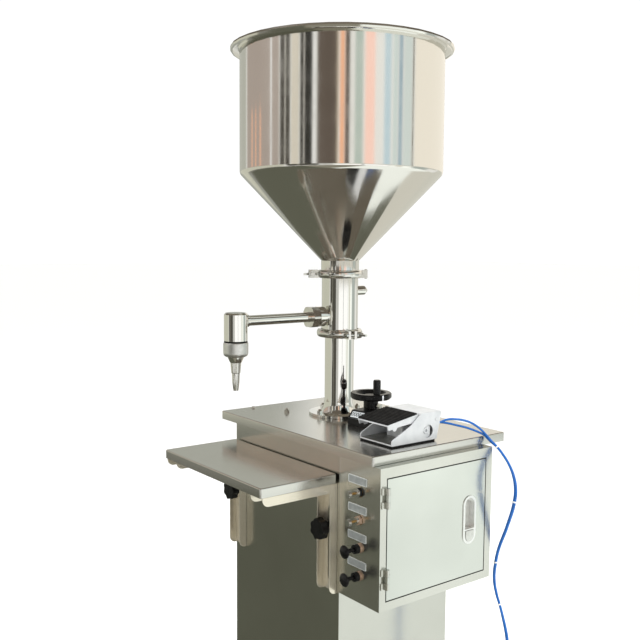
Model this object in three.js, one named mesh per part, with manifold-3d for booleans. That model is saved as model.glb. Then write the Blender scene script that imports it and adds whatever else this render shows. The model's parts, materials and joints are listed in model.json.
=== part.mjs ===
// Cream filling machine: a hopper on a piston pump, on a sheet steel pedestal with a sliding shelf.
// Millimetres, +Z up. Pieces are drawn about the pump's axis with the table top at z = 0,
// and the whole machine is then moved so that the origin is on the floor under its middle.
import * as THREE from "three";
import { mergeVertices } from "three/addons/utils/BufferGeometryUtils.js";
import Module from "manifold-3d";

const wasm = await Module();
wasm.setup();

// General clearances
const seat = 0.3; // gap left between pieces that rest on each other
const over = 2; // how far a cutting tool runs past the face that it cuts
const weld = 1e-4; // vertices nearer than this are one
const running = 0.25; // radial play of a shaft in its bore
const quarterTurn = Math.PI / 2;
const sides = { hopper: 40, column: 24, tube: 16, rod: 12 };

// Heights over the floor
const tableHeight = 830;
const footPadRadius = 25;
const footPadThickness = 8;
const footStudRadius = 6;
const footHeight = 45;

// Table top, a folded tray of sheet
const table = { left: -162, right: 312, front: -178, back: 142, lip: 16.5, sheet: 2, corner: 4, fold: 2.2 };

// Pedestal, a folded box that stands inside the table's lip
const pedestal = {
  left: -108,
  right: 224,
  front: table.front + table.sheet + seat,
  back: 88,
  wall: 2,
  top: -(table.sheet + seat),
  bottom: footHeight - tableHeight,
};
const rearHatch = { sideMargin: 28, topMargin: 70, bottomMargin: 60, overlap: 12, sheet: 1.5 };

// Pump column, all pieces turned about one axis
const bore = 25; // radius of the product cylinder's bore
const cylinder = {
  outer: 29.3,
  flareFoot: 37,
  flareMiddle: 32,
  flareHeight: 27,
  flange: 60.3,
  flangeThickness: 5,
};
const ferrule = { radius: 40, lip: 2.2, slope: 0.667 };
const dischargeHeight = 199.3; // of the discharge arm's axis
const portDrop = 34.3; // from that axis down to the lower joint
const valveBodySpan = 117.5; // between the two joints
const lowerJoint = dischargeHeight - portDrop; // clamp joint between cylinder and valve body
const upperJoint = lowerJoint + valveBodySpan; // clamp joint between valve body and hopper
const gasketThickness = 1.6;
const valveBody = { outer: 36.4, inner: 32.5 };

// Hopper
const hopperRise = { coneFoot: 26.5, shoulder: 195.5, rim: 437.5 }; // above the clamp joint
const hopper = {
  drum: 200,
  sheet: 2,
  rim: upperJoint + hopperRise.rim,
  shoulder: upperJoint + hopperRise.shoulder,
  shoulderRadius: 14,
  coneFoot: upperJoint + hopperRise.coneFoot,
  neck: 37.8,
  brim: 14,
  bead: 4.2,
};
const rimReach = hopper.drum + hopper.brim + hopper.bead;

// Discharge side, pointing to the front
const discharge = { height: dischargeHeight, portOuter: 13, portBore: 7.5, armOuter: 9.6, armBore: 7.4 };
const nozzleReach = 244;

// Pneumatic stroke parts under the table
const stroke = 95;
const rodRadius = 8;
const stopNutTravel = 80;
const screwAxis = { x: 106, y: -6 };

// Control cabinet on the pedestal's right side
const cabinet = {
  left: pedestal.right + seat,
  right: 328.4,
  front: pedestal.front,
  back: 90,
  top: -17,
  bottom: -256.5,
  wall: 1.5,
  jamb: 14,
};
const doorGap = 2;
const door = { front: -160, back: 73, top: -36.5, bottom: -240, sheet: 1.5, lip: 13 };
const hinge = {
  stand: 4.6,
  setBack: 3,
  knuckle: 4,
  pin: 1.8,
  height: 34,
  leaf: 10,
  sheet: 2,
  heights: [-66.5, -202],
};

// Shelf and its two brackets
const shelf = {
  left: -106,
  right: 219.5,
  front: -335,
  back: -179,
  top: -47.7,
  lip: 16.7,
  sheet: 2,
  corner: 3.5,
  fold: 2.2,
};
const bracket = {
  width: 37,
  sheet: 2,
  web: 16,
  bottom: -260,
  legFront: -330,
  endRadius: 13,
  slotTop: -109,
  slotBottom: -240,
  slotWidth: 9,
};
const bracketLefts = { left: pedestal.left, right: bracketRightEdge() - bracket.width };
const shelfStud = { radius: 4, height: -145, reach: 30 };
const starKnob = { radius: 19, lobeDepth: 3, thickness: 14, hub: 10, lobes: 7 };

// The right bracket stands just inside the pedestal's right edge
function bracketRightEdge() {
  const edgeMargin = 6;
  return pedestal.right - edgeMargin;
}

// Finishes
const polishedSteel = metal(0xd8d8d4, 0.12);
const satinSteel = metal(0xc4c4bd, 0.38);
const darkSteel = metal(0x8c8c86, 0.32);
const brass = metal(0xb98f5b, 0.35);
const aluminium = metal(0xe8eaec, 0.4);
const blackPlastic = plain(0x141414, 0.42);
const rubber = plain(0x1c1c1c, 0.8);
const whiteSeal = plain(0xe6e3da, 0.6);
const blueTube = plain(0x1f62c4, 0.35);
const smokedBowl = plain(0x9fa8a4, 0.2);

function metal(color, roughness) {
  return new THREE.MeshStandardMaterial({ color, roughness, metalness: 1 });
}

function plain(color, roughness) {
  return new THREE.MeshStandardMaterial({ color, roughness, metalness: 0 });
}

// A closed geometry as a solid that can be joined or cut
function solid(geometry) {
  if (geometry instanceof wasm.Manifold) return geometry;
  const bare = geometry.clone();
  bare.deleteAttribute("normal");
  bare.deleteAttribute("uv");
  const merged = mergeVertices(bare, weld);
  const vertProperties = merged.attributes.position.array;
  const triVerts = new Uint32Array(merged.index.array);
  const made = new wasm.Manifold(new wasm.Mesh({ numProp: 3, vertProperties, triVerts }));
  if (made.volume() > 0) return made;
  for (let i = 0; i < triVerts.length; i += 3) {
    [triVerts[i + 1], triVerts[i + 2]] = [triVerts[i + 2], triVerts[i + 1]];
  }
  return new wasm.Manifold(new wasm.Mesh({ numProp: 3, vertProperties, triVerts }));
}

function join(...shapes) {
  return shapes.map(solid).reduce((all, next) => all.add(next));
}

function cut(shape, ...tools) {
  return tools.map(solid).reduce((left, tool) => left.subtract(tool), solid(shape));
}

function common(shape, other) {
  return solid(shape).intersect(solid(other));
}

// One named piece of the machine
function piece(name, shape, material) {
  const mesh = solid(shape).getMesh();
  const geometry = new THREE.BufferGeometry();
  geometry.setAttribute("position", new THREE.BufferAttribute(mesh.vertProperties, 3));
  geometry.setIndex(new THREE.BufferAttribute(mesh.triVerts, 1));
  geometry.computeVertexNormals();
  const made = new THREE.Mesh(geometry, material);
  made.name = name;
  return made;
}

// Basic forms
function block(x0, x1, y0, y1, z0, z1) {
  return new THREE.BoxGeometry(x1 - x0, y1 - y0, z1 - z0).translate(
    (x0 + x1) / 2,
    (y0 + y1) / 2,
    (z0 + z1) / 2,
  );
}

// A round bar along Z, X or Y, from one end to the other
function bar(radius, from, to, around = 16, tip = radius) {
  return new THREE.CylinderGeometry(tip, radius, to - from, around)
    .rotateX(quarterTurn)
    .translate(0, 0, (from + to) / 2);
}

function barX(radius, from, to, y, z, around, tip) {
  return bar(radius, from, to, around, tip).rotateY(quarterTurn).translate(0, y, z);
}

function barY(radius, from, to, x, z, around, tip) {
  return bar(radius, from, to, around, tip).rotateX(-quarterTurn).translate(x, 0, z);
}

function barZ(radius, from, to, x, y, around, tip) {
  return bar(radius, from, to, around, tip).translate(x, y, 0);
}

// A profile of [radius, height] points turned about Z
function turned(profile, around = sides.tube) {
  const points = profile.map(([radius, height]) => new THREE.Vector2(radius, height));
  return new THREE.LatheGeometry(points, around).rotateX(quarterTurn);
}

function ring(outer, inner, from, to, around) {
  return turned([[inner, from], [outer, from], [outer, to], [inner, to], [inner, from]], around);
}

// Points on an arc, for profiles
function arc(centreA, centreB, radius, fromDegrees, toDegrees, steps) {
  return Array.from({ length: steps + 1 }, (_, i) => {
    const angle = THREE.MathUtils.degToRad(fromDegrees + ((toDegrees - fromDegrees) * i) / steps);
    return [centreA + radius * Math.cos(angle), centreB + radius * Math.sin(angle)];
  });
}

// An outline of [a, b] points given a thickness along Z
function slab(points, from, to) {
  const shape = new THREE.Shape(points.map(([a, b]) => new THREE.Vector2(a, b)));
  return new THREE.ExtrudeGeometry(shape, { depth: to - from, bevelEnabled: false }).translate(0, 0, from);
}

// The same with its top edge folded over a radius
function foldedSlab(points, from, to, fold) {
  const shape = new THREE.Shape(points.map(([a, b]) => new THREE.Vector2(a, b)));
  const options = {
    depth: to - from,
    bevelThickness: fold,
    bevelSize: fold,
    bevelOffset: -fold,
    bevelSegments: 3,
  };
  const both = solid(new THREE.ExtrudeGeometry(shape, options).translate(0, 0, from - fold));
  const reach = Math.max(...points.flat().map(Math.abs)) + over;
  return cut(both, block(-reach, reach, -reach, reach, from - 2 * fold - over, from));
}

// The same with the outline in the (y, z) plane and its thickness along X
function slabX(points, from, to) {
  const turn = new THREE.Matrix4().makeBasis(
    new THREE.Vector3(0, 1, 0),
    new THREE.Vector3(0, 0, 1),
    new THREE.Vector3(1, 0, 0),
  );
  return slab(points, from, to).applyMatrix4(turn);
}

// A box outline with rounded corners
function roundedOutline(x0, x1, y0, y1, radius, steps = 4) {
  return [
    ...arc(x1 - radius, y1 - radius, radius, 0, 90, steps),
    ...arc(x0 + radius, y1 - radius, radius, 90, 180, steps),
    ...arc(x0 + radius, y0 + radius, radius, 180, 270, steps),
    ...arc(x1 - radius, y0 + radius, radius, 270, 360, steps),
  ];
}

// A hexagon bar along Z with its width across flats
function hexBar(acrossFlats, from, to) {
  return bar(acrossFlats / 2 / Math.cos(Math.PI / 6), from, to, 6);
}

function moved(geometry, x, y, z) {
  return geometry.translate(x, y, z);
}

// Table top with its screws, spindle hole and rod hole
function makeTable() {
  const t = table;
  const inset = t.sheet;
  const tray = cut(
    foldedSlab(roundedOutline(t.left, t.right, t.front, t.back, t.corner), -t.lip, 0, t.fold),
    slab(
      roundedOutline(t.left + inset, t.right - inset, t.front + inset, t.back - inset, t.corner - inset),
      -t.lip - over,
      -t.sheet,
    ),
    barZ(rodBush.outer + seat, -t.sheet - over, over, 0, 0, sides.column),
    barZ(spindleBush.outer + seat, -t.sheet - over, over, screwAxis.x, screwAxis.y, sides.tube),
  );
  const capScrew = { radius: 4.5, height: 3.2 };
  const acorn = { flats: 10, height: 5, dome: 4.6, rise: 4 };
  const capScrewPlace = [-147, -110];
  const acornPlace = [-72, -78];
  return join(
    tray,
    barZ(capScrew.radius, -t.sheet / 2, capScrew.height, ...capScrewPlace, 12, capScrew.radius * 0.8),
    moved(hexBar(acorn.flats, -t.sheet / 2, acorn.height), ...acornPlace, 0),
    barZ(acorn.dome, acorn.height - 1, acorn.height + acorn.rise, ...acornPlace, 12, acorn.dome / 2),
  );
}

// The pedestal: four walls, the studs of the shelf, and the rear opening
function makePedestal() {
  const p = pedestal;
  const shell = cut(
    block(p.left, p.right, p.front, p.back, p.bottom, p.top),
    block(
      p.left + p.wall,
      p.right - p.wall,
      p.front + p.wall,
      p.back - p.wall,
      p.bottom - over,
      p.top + over,
    ),
  );
  const opening = block(
    p.left + rearHatch.sideMargin,
    p.right - rearHatch.sideMargin,
    p.back - p.wall - over,
    p.back + over,
    p.bottom + rearHatch.bottomMargin,
    p.top - rearHatch.topMargin,
  );
  const studs = studCentres().map((x) =>
    barY(shelfStud.radius, p.front - shelfStud.reach, p.front + p.wall / 2, x, shelfStud.height, sides.rod),
  );
  return join(cut(shell, opening), ...studs);
}

function studCentres() {
  return [bracketLefts.left, bracketLefts.right].map((left) => left + bracket.width / 2);
}

// Cover over the rear opening
function makeRearHatch() {
  const p = pedestal;
  const h = rearHatch;
  const handleHole = { radius: 9, drop: 40 };
  const face = block(
    p.left + h.sideMargin - h.overlap,
    p.right - h.sideMargin + h.overlap,
    p.back + seat,
    p.back + seat + h.sheet,
    p.bottom + h.bottomMargin - h.overlap,
    p.top - h.topMargin + h.overlap,
  );
  const middle = (p.left + p.right) / 2;
  const grip = barY(
    handleHole.radius,
    p.back - over,
    p.back + h.sheet + over,
    middle,
    p.top - h.topMargin - handleHole.drop,
    sides.tube,
  );
  return cut(face, grip);
}

// Bottom plate with four levelling feet
function makeBaseFrame() {
  const p = pedestal;
  const plate = { thickness: 4, nut: 18, nutHeight: 10, inset: 32 };
  const low = p.bottom + seat;
  const inner = p.wall + seat;
  const high = low + plate.thickness;
  const shapes = [block(p.left + inner, p.right - inner, p.front + inner, p.back - inner, low, high)];
  for (const x of [p.left + plate.inset, p.right - plate.inset]) {
    for (const y of [p.front + plate.inset, p.back - plate.inset]) {
      const pad = turned(
        [
          [0, -tableHeight],
          [footPadRadius, -tableHeight],
          [footPadRadius, -tableHeight + footPadThickness / 2],
          [footPadRadius * 0.7, -tableHeight + footPadThickness],
          [footStudRadius * 1.5, -tableHeight + footPadThickness * 1.5],
          [0, -tableHeight + footPadThickness * 1.5],
        ],
        sides.rod,
      );
      shapes.push(moved(pad, x, y, 0));
      shapes.push(barZ(footStudRadius, -tableHeight + footPadThickness, low + plate.thickness * 3, x, y, 12));
      shapes.push(moved(hexBar(plate.nut, low - plate.nutHeight, low + plate.thickness / 2), x, y, 0));
    }
  }
  return join(...shapes);
}

// Where the stroke parts lie under the table, from the top down
const rodBush = { outer: 18, drop: 14 };
const spindleBush = { outer: 14, flange: 17, drop: 12 };
const rest = {
  pistonTop: lowerJoint - 12, // product piston at rest, fully up
  pistonLength: 26,
  armTop: -62,
  armThickness: 12,
};
const carrier = { top: rest.armTop - rest.armThickness - stroke - 30, thickness: 10, pillar: 6 };
const pillarPlaces = [[-60, -60], [-60, 60], [60, 60], [140, -66]];
const guidePillar = [screwAxis.x + 36, screwAxis.y];
const airCylinder = { outer: 33, inner: 29, head: 22, pistonLength: 16 };

// Flange, cylinder tube and lower clamp ferrule of the pump, in one welded piece
function makeProductCylinder() {
  const c = cylinder;
  const jointFace = lowerJoint - gasketThickness / 2 - seat;
  const boltCircle = 50;
  const firstBolt = -88;
  const bolts = { count: 4, flats: 10, height: 6, dome: 4.7 };
  const tube = turned(
    [
      [rodRadius + running, -rodBush.drop],
      [rodBush.outer, -rodBush.drop],
      [rodBush.outer, seat],
      [c.flange, seat],
      [c.flange, seat + c.flangeThickness],
      [c.flareFoot, seat + c.flangeThickness],
      [c.flareMiddle, seat + c.flareHeight / 2],
      [c.outer, seat + c.flareHeight],
      [c.outer, jointFace - ferrule.lip - ferruleTaper(valveBody.outer) - 4],
      [valveBody.outer, jointFace - ferrule.lip - ferruleTaper(valveBody.outer)],
      [ferrule.radius, jointFace - ferrule.lip],
      [ferrule.radius, jointFace],
      [bore, jointFace],
      [bore, c.flangeThickness * 2],
      [rodRadius + running, c.flangeThickness * 2],
      [rodRadius + running, -rodBush.drop],
    ],
    sides.column,
  );
  const nuts = Array.from({ length: bolts.count }, (_, i) => {
    const angle = THREE.MathUtils.degToRad(firstBolt + (360 / bolts.count) * i);
    const top = seat + c.flangeThickness;
    const nut = join(
      hexBar(bolts.flats, top - 1, top + bolts.height),
      bar(bolts.dome, top + bolts.height - 1, top + bolts.height * 1.6, 12, bolts.dome / 2),
    );
    return nut.translate([boltCircle * Math.cos(angle), boltCircle * Math.sin(angle), 0]);
  });
  return join(tube, ...nuts);
}

// Height over which a ferrule narrows to the tube behind it
function ferruleTaper(radius) {
  return ferrule.slope * (ferrule.radius - radius);
}

// A thin seal between two ferrules
function makeGasket(height) {
  const half = gasketThickness / 2;
  return ring(ferrule.radius - 1, valveBody.inner, height - half, height + half, sides.tube);
}

// The upper column: inlet seat, side port with its union thread, and the bleed plug
const inletSeat = { height: 238, thickness: 6, hole: 17, guide: 3.6, guideWall: 3 };
const bleedDrop = 34.5; // from the upper joint
const bleed = { height: upperJoint - bleedDrop, outer: 9.5, reach: 32, cap: 7 };
const union = {
  flats: 39,
  from: 78,
  to: 61,
  thread: 15.5,
  shoulder: 4,
  armCollar: 3,
  portCollar: 20,
  portCollarTo: 44,
};
const portEnd = union.from - union.shoulder - union.armCollar - 2 * seat;

function makeValveBody() {
  const v = valveBody;
  const low = lowerJoint + gasketThickness / 2 + seat;
  const high = upperJoint - gasketThickness / 2 - seat;
  const skin = turned(
    [
      [bore, low],
      [ferrule.radius, low],
      [ferrule.radius, low + ferrule.lip],
      [v.outer, low + ferrule.lip + ferruleTaper(v.outer)],
      [v.outer, high - ferrule.lip - ferruleTaper(v.outer)],
      [ferrule.radius, high - ferrule.lip],
      [ferrule.radius, high],
      [v.inner, high],
      [v.inner, inletSeat.height + inletSeat.thickness],
      [inletSeat.hole, inletSeat.height + inletSeat.thickness],
      [inletSeat.hole, inletSeat.height],
      [v.inner, inletSeat.height],
      [v.inner, low + 12],
      [bore, low + 4],
      [bore, low],
    ],
    sides.column,
  );
  const portSleeve = barY(discharge.portOuter, -portEnd + 6, -v.inner - 1, 0, discharge.height, sides.tube);
  const portThread = barY(union.thread, -portEnd, -union.portCollarTo - 1, 0, discharge.height, sides.tube);
  const collarFrom = -union.to + 2 * seat;
  const portCollar = barY(union.portCollar, collarFrom, -union.portCollarTo, 0, discharge.height, sides.tube);
  const bridge = inletSeat.guide + inletSeat.guideWall;
  const spider = join(
    bar(bridge, inletSeat.height + inletSeat.thickness - 2, inletSeat.height + inletSeat.thickness * 2, sides.rod),
    block(
      -inletSeat.hole - 3,
      inletSeat.hole + 3,
      -2,
      2,
      inletSeat.height + inletSeat.thickness - 1,
      inletSeat.height + inletSeat.thickness + 5,
    ),
  );
  const plug = join(
    barY(bleed.outer, v.inner + 1, v.outer + bleed.reach - bleed.cap, 0, bleed.height, sides.rod),
    barY(bleed.outer, v.outer + bleed.reach - bleed.cap, v.outer + bleed.reach, 0, bleed.height, sides.rod, 4.5),
  );
  return cut(
    join(skin, portSleeve, portThread, portCollar, plug, spider),
    barY(discharge.portBore, -portEnd - over, 0, 0, discharge.height, sides.rod),
    barY(outletCheck.radius + 0.6, -portEnd - over, -v.inner - 20, 0, discharge.height, sides.tube),
    bar(inletSeat.guide, inletSeat.height - over, inletSeat.height + inletSeat.thickness * 3, sides.rod),
  );
}

// Check valves that let the product pass one way only
const outletCheck = { radius: 10.5, face: -valveBody.inner - 20, length: 5, lift: 7, stem: 3 };
const inletCheck = { radius: 21, thickness: 6, lift: 7, stemRadius: 3.2 };
const inletStemTop = inletSeat.height + inletSeat.thickness * 2 + inletCheck.lift + 4;

function makeInletPoppet() {
  const faceTop = inletSeat.height - seat;
  return turned(
    [
      [0, faceTop - inletCheck.thickness],
      [inletCheck.radius - 3, faceTop - inletCheck.thickness],
      [inletCheck.radius, faceTop - 2],
      [inletCheck.radius, faceTop],
      [inletCheck.stemRadius, faceTop],
      [inletCheck.stemRadius, inletStemTop],
      [inletCheck.stemRadius + 4, inletStemTop],
      [inletCheck.stemRadius + 4, inletStemTop + 3],
      [0, inletStemTop + 3],
    ],
    sides.tube,
  );
}

function makeOutletPoppet() {
  const o = outletCheck;
  const face = o.face - seat;
  return join(
    barY(o.radius, face - o.length, face, 0, discharge.height, sides.rod),
    barY(o.stem, face - o.length - 8, face, 0, discharge.height, 12),
  );
}

// Hopper: ferrule, neck, cone, rounded shoulder, drum and rolled rim, spun from one sheet
function makeHopper() {
  const h = hopper;
  const low = upperJoint + gasketThickness / 2 + seat;
  const neckInner = h.neck - h.sheet;
  const slope = Math.atan2(h.shoulder - h.coneFoot, h.drum - h.neck);
  const slopeDegrees = THREE.MathUtils.radToDeg(slope);
  const outerShoulder = shoulderArc(h.drum, h.shoulder, h.shoulderRadius, slopeDegrees);
  const innerShoulder = shoulderArc(h.drum - h.sheet, h.shoulder + h.sheet, h.shoulderRadius, slopeDegrees);
  const beadCentre = h.drum + h.brim;
  const profile = [
    [valveBody.inner, low],
    [ferrule.radius, low],
    [ferrule.radius, low + ferrule.lip],
    [h.neck, low + ferrule.lip + ferruleTaper(h.neck)],
    [h.neck, h.coneFoot],
    ...outerShoulder,
    [h.drum, h.rim - h.bead * 1.6],
    [h.drum + 3, h.rim - h.bead],
    ...arc(beadCentre, h.rim - h.bead, h.bead, -150, 90, 5),
    [h.drum + 2, h.rim],
    [h.drum - h.sheet, h.rim - 3],
    ...innerShoulder.reverse(),
    [neckInner, h.coneFoot + h.sheet],
    [valveBody.inner, low + 8],
    [valveBody.inner, low],
  ];
  return turned(profile, sides.hopper);
}

// The rounded bend between a cone that climbs at the given slope and an upright wall
function shoulderArc(wallRadius, cornerHeight, radius, slopeDegrees) {
  const bend = 90 - slopeDegrees;
  const setBack = radius * Math.tan(THREE.MathUtils.degToRad(bend / 2));
  return arc(wallRadius - radius, cornerHeight + setBack, radius, slopeDegrees - 90, 0, 3);
}

// Clamp: two half rings hinged on one side, drawn closed, with a swing bolt between their ears
const clamp = {
  outer: 46,
  bulge: 5,
  mouth: 38.2,
  height: 16,
  earTo: 62.5,
  root: 2, // how far ears reach into the ring
  splitGap: 3.9,
  splitRoot: 6,
  boltOut: 11.5,
  bolt: 3.6,
  boltRoot: 2,
  boltPast: 5,
  headOver: 2.4,
  headFrom: 4,
  headTo: 1,
  hinge: { out: 9, half: 4.5, pin: 2.6, pinOut: 6, pinPast: 1.6 },
};
const wing = { boss: 7.2, bossLength: 10, thickness: 4, span: 17, nutStart: 9 };

function makeClamp(height, turnDegrees) {
  const c = clamp;
  const half = c.height / 2;
  const inside = ferrule.radius + 2 * seat;
  const lip = gasketThickness / 2 + ferrule.lip + 2 * seat;
  const slope = ferrule.slope * (inside - c.mouth);
  const groove = turned(
    [
      [0, height - half - over],
      [c.mouth, height - half - over],
      [c.mouth, height - lip - slope],
      [inside, height - lip],
      [inside, height + lip],
      [c.mouth, height + lip + slope],
      [c.mouth, height + half + over],
      [0, height + half + over],
    ],
    sides.column,
  );
  const body = turned(
    [
      [c.mouth - over, height - half],
      ...arc(0, 0, 1, -90, 90, 6).map(([out, up]) => [c.outer - c.bulge + c.bulge * out, height + half * up]),
      [c.mouth - over, height + half],
      [c.mouth - over, height - half],
    ],
    sides.column,
  );
  const boltX = c.outer + c.boltOut;
  const ears = block(c.outer - c.root, c.earTo, -wing.nutStart, wing.nutStart, height - half, height + half);
  const split = block(
    c.outer - c.splitRoot,
    c.earTo + over,
    -c.splitGap,
    c.splitGap,
    height - half - over,
    height + half + over,
  );
  const h = c.hinge;
  const hingeEars = block(-c.outer - h.out, -c.outer + c.root, -h.half, h.half, height - half, height + half);
  const hingePin = barZ(h.pin, height - half - h.pinPast, height + half + h.pinPast, -c.outer - h.pinOut, 0, 10);
  const boltEnd = wing.nutStart + wing.bossLength + c.boltPast;
  const swingBolt = barY(c.bolt, -wing.nutStart - c.boltRoot, boltEnd, boltX, height, 12);
  const headRadius = c.bolt + c.headOver;
  const boltHead = barY(headRadius, -wing.nutStart - c.headFrom, -wing.nutStart + c.headTo, boltX, height, 12);
  const band = cut(join(body, ears, hingeEars), groove, split);
  return join(band, hingePin, swingBolt, boltHead).rotate([0, 0, turnDegrees]);
}

// Wing nut on the swing bolt; its wings lie flat, along the clamp's radius
function makeWingNut(height, turnDegrees) {
  const x = clamp.outer + clamp.boltOut;
  const from = wing.nutStart + seat;
  const to = from + wing.bossLength;
  const outline = [
    [-wing.boss + 1, from + 1.5],
    [wing.boss - 1, from + 1.5],
    [wing.span - 5, from + 7],
    [wing.span, from + 12],
    [wing.span - 1, from + 16],
    [wing.span - 5, from + 15],
    [wing.boss - 1, to - 1],
    [1 - wing.boss, to - 1],
    [5 - wing.span, from + 15],
    [1 - wing.span, from + 16],
    [-wing.span, from + 12],
    [5 - wing.span, from + 7],
  ];
  const wings = slab(outline, -wing.thickness / 2, wing.thickness / 2).translate(x, 0, height);
  const bore = barY(clamp.bolt + seat, from - over, to + over * 3, x, height, 12);
  return cut(join(barY(wing.boss, from, to, x, height, sides.rod, wing.boss - 1), wings), bore).rotate([0, 0, turnDegrees]);
}

// Union nut over the port's thread, and the arm with the nozzle head on its end
function makeUnionNut() {
  const u = union;
  const nut = hexBar(u.flats, -u.from, -u.to).rotateX(-quarterTurn).rotateY(quarterTurn);
  const rounded = barY(u.flats / 2 + 2, -u.from - over, -u.to + over, 0, 0, sides.tube);
  const hex = common(nut, rounded).translate([0, 0, discharge.height]);
  const passage = barY(discharge.armOuter + seat, -u.from - over, -u.from + u.shoulder + 1, 0, discharge.height, sides.tube);
  const socket = barY(u.thread + 2 * seat, -u.from + u.shoulder, -u.to + over, 0, discharge.height, sides.tube);
  return cut(hex, passage, socket);
}

// Rise of the head above the arm's axis, and how far each step of the nozzle hangs below it
const headRise = 16;
const nozzleDrop = {
  head: 36.5,
  ring: 38.5,
  collar: 65.1,
  seat: 60.3,
  shoulder: 75.1,
  cone: 94.9,
  tip: 128.1,
};
const hangs = (drop) => discharge.height - drop;
const head = {
  outer: 22,
  inner: 15,
  top: discharge.height + headRise,
  bottom: hangs(nozzleDrop.head),
  socket: 20,
};
const collar = { outer: 23.4, top: hangs(nozzleDrop.ring), bottom: hangs(nozzleDrop.collar), thread: 17.4 };
const spout = {
  shoulder: 15.2,
  shoulderBottom: hangs(nozzleDrop.shoulder),
  cone: 10.2,
  coneBottom: hangs(nozzleDrop.cone),
  tip: 7.4,
  tipBottom: hangs(nozzleDrop.tip),
};

function makeDischargeArm() {
  const y = -nozzleReach;
  const d = discharge;
  const headBody = turned(
    [
      [0, head.bottom],
      [head.outer - 1, head.bottom],
      [head.outer, head.bottom + 1],
      [head.outer, head.top - 3],
      [head.outer - 3, head.top],
      [0, head.top],
    ],
    sides.tube,
  ).translate(0, y, 0);
  const socket = barZ(collar.thread, head.bottom - head.socket, head.bottom + 1, 0, y, sides.tube);
  const collarFrom = -union.from + union.shoulder + seat;
  return cut(
    join(
      headBody,
      socket,
      barY(d.armOuter, y + head.inner, collarFrom + 1, 0, d.height, sides.tube),
      barY(d.armOuter + 2, y + head.outer - 2, y + head.outer + 3.5, 0, d.height, sides.tube),
      barY(union.thread - 1, collarFrom, collarFrom + union.armCollar, 0, d.height, sides.tube),
    ),
    barY(d.armBore, y, 0, 0, d.height, sides.rod),
    barZ(head.inner, head.bottom - head.socket - over, head.top - 5, 0, y, sides.tube),
  );
}

function makeNozzleRing() {
  const gasket = ring(head.outer, collar.thread + seat, head.bottom - 1.7, head.bottom - seat, sides.tube);
  return gasket.translate(0, -nozzleReach, 0);
}

function makeNozzleCollar() {
  const low = collar.bottom;
  return turned(
    [
      [collar.thread + 2 * seat, collar.top],
      [collar.outer - 1, collar.top],
      [collar.outer, collar.top - 2],
      [collar.outer, low + 8],
      ...arc(collar.outer - 7, low + 7, 7, 0, -80, 3),
      [spout.shoulder + 2 * seat, low],
      [spout.shoulder + 2 * seat, low + 5],
      [collar.thread + 2 * seat, low + 5],
      [collar.thread + 2 * seat, collar.top],
    ],
    sides.tube,
  ).translate(0, -nozzleReach, 0);
}

// Spout with its tapered, obliquely cut tip; the drip valve's seat is inside its shoulder
const dripSeat = { height: hangs(nozzleDrop.seat), hole: 6 };

function makeNozzleTip() {
  const s = spout;
  const top = head.bottom - head.socket - seat;
  const outside = turned(
    [
      [0, s.tipBottom],
      [s.tip - 2.6, s.tipBottom],
      [s.tip - 0.6, s.tipBottom + 16],
      [s.tip, s.coneBottom - 1],
      [s.cone - 1.6, s.coneBottom],
      [s.cone, s.shoulderBottom - 1],
      [s.shoulder - 4, s.shoulderBottom],
      [s.shoulder, s.shoulderBottom + 9],
      [s.shoulder, collar.bottom + 5 + seat],
      [collar.thread - 0.4, collar.bottom + 5 + seat],
      [collar.thread - 0.4, top],
      [0, top],
    ],
    sides.tube,
  );
  const inside = turned(
    [
      [0, s.tipBottom - over],
      [s.tip - 3.8, s.tipBottom - over],
      [s.tip - 2.4, s.coneBottom],
      [dripSeat.hole, s.shoulderBottom],
      [dripSeat.hole, dripSeat.height - 2],
      [dripSeat.hole + 4, dripSeat.height],
      [dripSeat.hole + 4, top + over],
      [0, top + over],
    ],
    sides.rod,
  );
  const bite = block(-s.cone, s.cone, -s.cone * 2, 0, -s.cone * 2, 0)
    .rotateX(THREE.MathUtils.degToRad(-62))
    .translate(0, -s.tip + 4, s.tipBottom + 2);
  return cut(cut(outside, bite), inside).translate([0, -nozzleReach, 0]);
}

// Sprung cone that closes the spout after each shot
const drip = { disc: 9, lift: 8, stem: 2.4, topOver: 40 };

function makeDripPoppet() {
  const seatTop = dripSeat.height + seat;
  return turned(
    [
      [0, seatTop - 5],
      [dripSeat.hole - 1.4, seatTop - 2.6],
      [drip.disc, seatTop + 0.6],
      [drip.disc, seatTop + 4],
      [drip.stem, seatTop + 4],
      [drip.stem, seatTop + drip.topOver],
      [0, seatTop + drip.topOver],
    ],
    sides.rod,
  ).translate(0, -nozzleReach, 0);
}

// A helix of round wire with flat closed ends
class Helix extends THREE.Curve {
  constructor(radius, from, to, turns) {
    super();
    Object.assign(this, { radius, from, to, turns });
  }
  getPoint(t, target = new THREE.Vector3()) {
    const angle = 2 * Math.PI * this.turns * t;
    return target.set(
      this.radius * Math.cos(angle),
      this.radius * Math.sin(angle),
      this.from + (this.to - this.from) * t,
    );
  }
}

const dripSpring = { wire: 0.9, coil: 5.6, turns: 6 };
const inletSpring = { wire: 0.7, coil: 4.9, turns: 3 };

function coilSpring(spring, low, high) {
  const from = low + spring.wire + seat;
  const to = high - spring.wire - seat;
  const section = new THREE.Shape().absarc(0, 0, spring.wire, 0, 2 * Math.PI);
  const extrudePath = new Helix(spring.coil, from, to, spring.turns);
  return new THREE.ExtrudeGeometry(section, { steps: 8 * spring.turns, curveSegments: 3, extrudePath });
}

function makeDripSpring() {
  return coilSpring(dripSpring, dripSeat.height + seat + 4, head.top - 5).translate(0, -nozzleReach, 0);
}

function makeInletSpring() {
  return coilSpring(inletSpring, inletSeat.height + inletSeat.thickness * 2, inletStemTop);
}

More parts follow.
